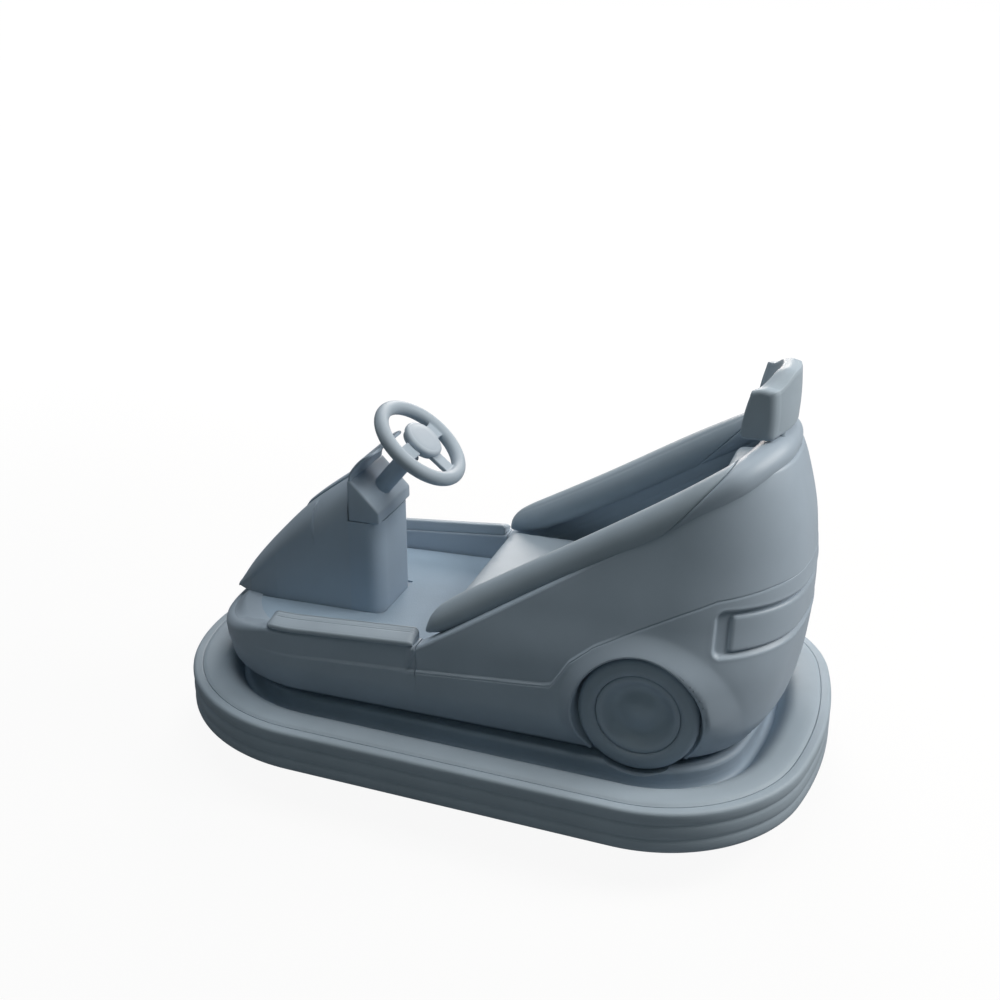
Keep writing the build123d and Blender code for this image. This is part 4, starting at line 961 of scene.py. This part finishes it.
HEAD_HALF, HEAD_R, HEAD_END, CORNER = 132.0, 13.0, 12, 13
PIPED_ABOVE = 1080


def headrest_row(y, shrink):
    """A rounded section of the headrest at y, drawn in by shrink; piping runs along its upper corners."""
    k = abs(y) / HEAD_HALF
    rear, front = -755 + 46 * k**2 + shrink, -696 + 68 * k**2 - shrink
    low, top = 1017 - 15 * k**2 + shrink, 1162 - 33 * float(soft((k - 0.30) / 0.62)) - shrink
    lean = 9.0 * (1 + k)
    points = []
    for cx, cz, start in ((rear + HEAD_R, top - HEAD_R, 180), (front - lean - HEAD_R, top - HEAD_R, 90),
                          (front - HEAD_R, low + HEAD_R, 0), (rear + HEAD_R, low + HEAD_R, -90)):
        for j in range(CORNER):
            a = math.radians(start - 90 * j / (CORNER - 1))
            r = HEAD_R + (1.5 * bell((j - 6) / 1.3) if cz > PIPED_ABOVE else 0.0)
            points.append((cx + r * math.cos(a), cz + r * math.sin(a)))
    dense = []
    for i, (xa, za) in enumerate(points):
        xb, zb = points[(i + 1) % len(points)]
        cuts = 10 if i % CORNER == CORNER - 1 else 1
        swell = 0.0 if i == 3 * CORNER - 1 else 2.6  # the flat sides bulge, but for the lower one
        size = math.hypot(xb - xa, zb - za) or 1.0
        for t in np.arange(cuts) / cuts:
            out = swell * math.sin(math.pi * t) / size
            dense.append((xa + (xb - xa) * t - out * (zb - za), y, za + (zb - za) * t + out * (xb - xa)))
    return dense


rows = [headrest_row(back - HEAD_HALF, shrink) for shrink, back in fillet(HEAD_END, turn(88, 0, 12))]
ends = len(rows)
for y in np.linspace(HEAD_END - HEAD_HALF, HEAD_HALF - HEAD_END, 61)[1:-1]:
    rows.append(headrest_row(y, -1.3 * bell((abs(y) - HEAD_HALF + 15) / 1.8)))
rows += [[(x, -y, z) for x, y, z in row] for row in rows[ends - 1::-1]]
pad = sheet("headrest_pad", rows, "padding", capped=True, replaces=["headrest"], angle=60)

pad = put("back_pad", frame["nodes"]["seat_back"].data.copy())
pad.matrix_world = frame["nodes"]["seat_back"].matrix_world
remesh(pad, PAD_VOXEL, 14)
puff(pad)
dress(pad, "padding", replaces=["seat_back"])

# ---------------------------------------------------------------- light
LAMPS = (
    # name, place, width, power, colour
    ("key", (-3.4, -0.8, 3.0), 2.2, 140, (1.0, 0.97, 0.92)),
    ("top", (0, 0, 5.0), 3.5, 106, (1.0, 0.98, 0.95)),
    ("far", (0.8, -3.8, 2.4), 2.2, 108, (1.0, 0.92, 0.86)),
    ("nose", (3.2, -0.8, 3.0), 2.2, 13, (0.7, 0.87, 1.0)),
    ("near", (-0.5, 3.6, 3.2), 2.2, 10, (0.82, 1.0, 0.97)),
)
LIT = Vector((0, 0, 0.4))
for name, place, width, power, colour in LAMPS:
    lamp = bpy.data.lights.new(name, "AREA")
    lamp.shape, lamp.size, lamp.energy, lamp.color = "DISK", width, power, colour
    obj = put(name, lamp)
    obj.location = place
    obj.rotation_euler = (LIT - Vector(place)).to_track_quat("-Z", "Y").to_euler()
world = bpy.data.worlds.new("world")
scene.world = world
world.use_nodes = True
tree = world.node_tree
dim = tree.nodes["Background"]
dim.inputs["Color"].default_value = (0.72, 0.86, 1.0, 1)
dim.inputs["Strength"].default_value = 0.02
white = add_node(tree, "ShaderNodeBackground", {"Color": (1, 1, 1, 1)})
path = add_node(tree, "ShaderNodeLightPath")
mix = add_node(tree, "ShaderNodeMixShader")
seen = add_node(tree, "ShaderNodeMath", operation="MAXIMUM")
wire(tree, (path.outputs["Is Camera Ray"], seen.inputs[0]),
     (path.outputs["Is Transmission Ray"], seen.inputs[1]), (seen.outputs["Value"], mix.inputs["Fac"]),
     (dim.outputs["Background"], mix.inputs[1]), (white.outputs["Background"], mix.inputs[2]),
     (mix.outputs["Shader"], tree.nodes["World Output"].inputs["Surface"]))

# ---------------------------------------------------------------- floor
REACH = 40  # half the floor's width
floor_me = bpy.data.meshes.new("studio_floor")
floor_me.from_pydata([(-REACH, -REACH, 0), (REACH, -REACH, 0), (REACH, REACH, 0), (-REACH, REACH, 0)], [],
                     [(0, 1, 2, 3)])
floor = put("studio_floor", floor_me)
pale = bpy.data.materials.new("studio_floor")
pale.use_nodes = True
tree = pale.node_tree
# what lights and mirrors see of the floor
plain = tree.nodes["Principled BSDF"]
plain.inputs["Base Color"].default_value = (0.25, 0.27, 0.29, 1)
plain.inputs["Roughness"].default_value = 0.9
# what the camera sees: mostly a white glow, brighter far out, and a little of the object's shadow
shade = add_node(tree, "ShaderNodeBsdfDiffuse", {"Color": (0.75, 0.75, 0.75, 1)})
glow = add_node(tree, "ShaderNodeEmission")
where = add_node(tree, "ShaderNodeTexCoord")
reach = add_node(tree, "ShaderNodeVectorMath", operation="LENGTH")
rise = add_node(tree, "ShaderNodeMapRange", {"From Min": 1.6, "From Max": 6.0, "To Min": 1.0, "To Max": 1.08},
                interpolation_type="SMOOTHSTEP")
blend = add_node(tree, "ShaderNodeMixShader", {"Fac": 0.93})
path = add_node(tree, "ShaderNodeLightPath")
mix = add_node(tree, "ShaderNodeMixShader")
wire(tree, (where.outputs["Object"], reach.inputs[0]), (reach.outputs["Value"], rise.inputs["Value"]),
     (rise.outputs["Result"], glow.inputs["Strength"]), (shade.outputs["BSDF"], blend.inputs[1]),
     (glow.outputs["Emission"], blend.inputs[2]), (path.outputs["Is Camera Ray"], mix.inputs["Fac"]),
     (plain.outputs["BSDF"], mix.inputs[1]), (blend.outputs["Shader"], mix.inputs[2]),
     (mix.outputs["Shader"], tree.nodes["Material Output"].inputs["Surface"]))
floor_me.materials.append(pale)
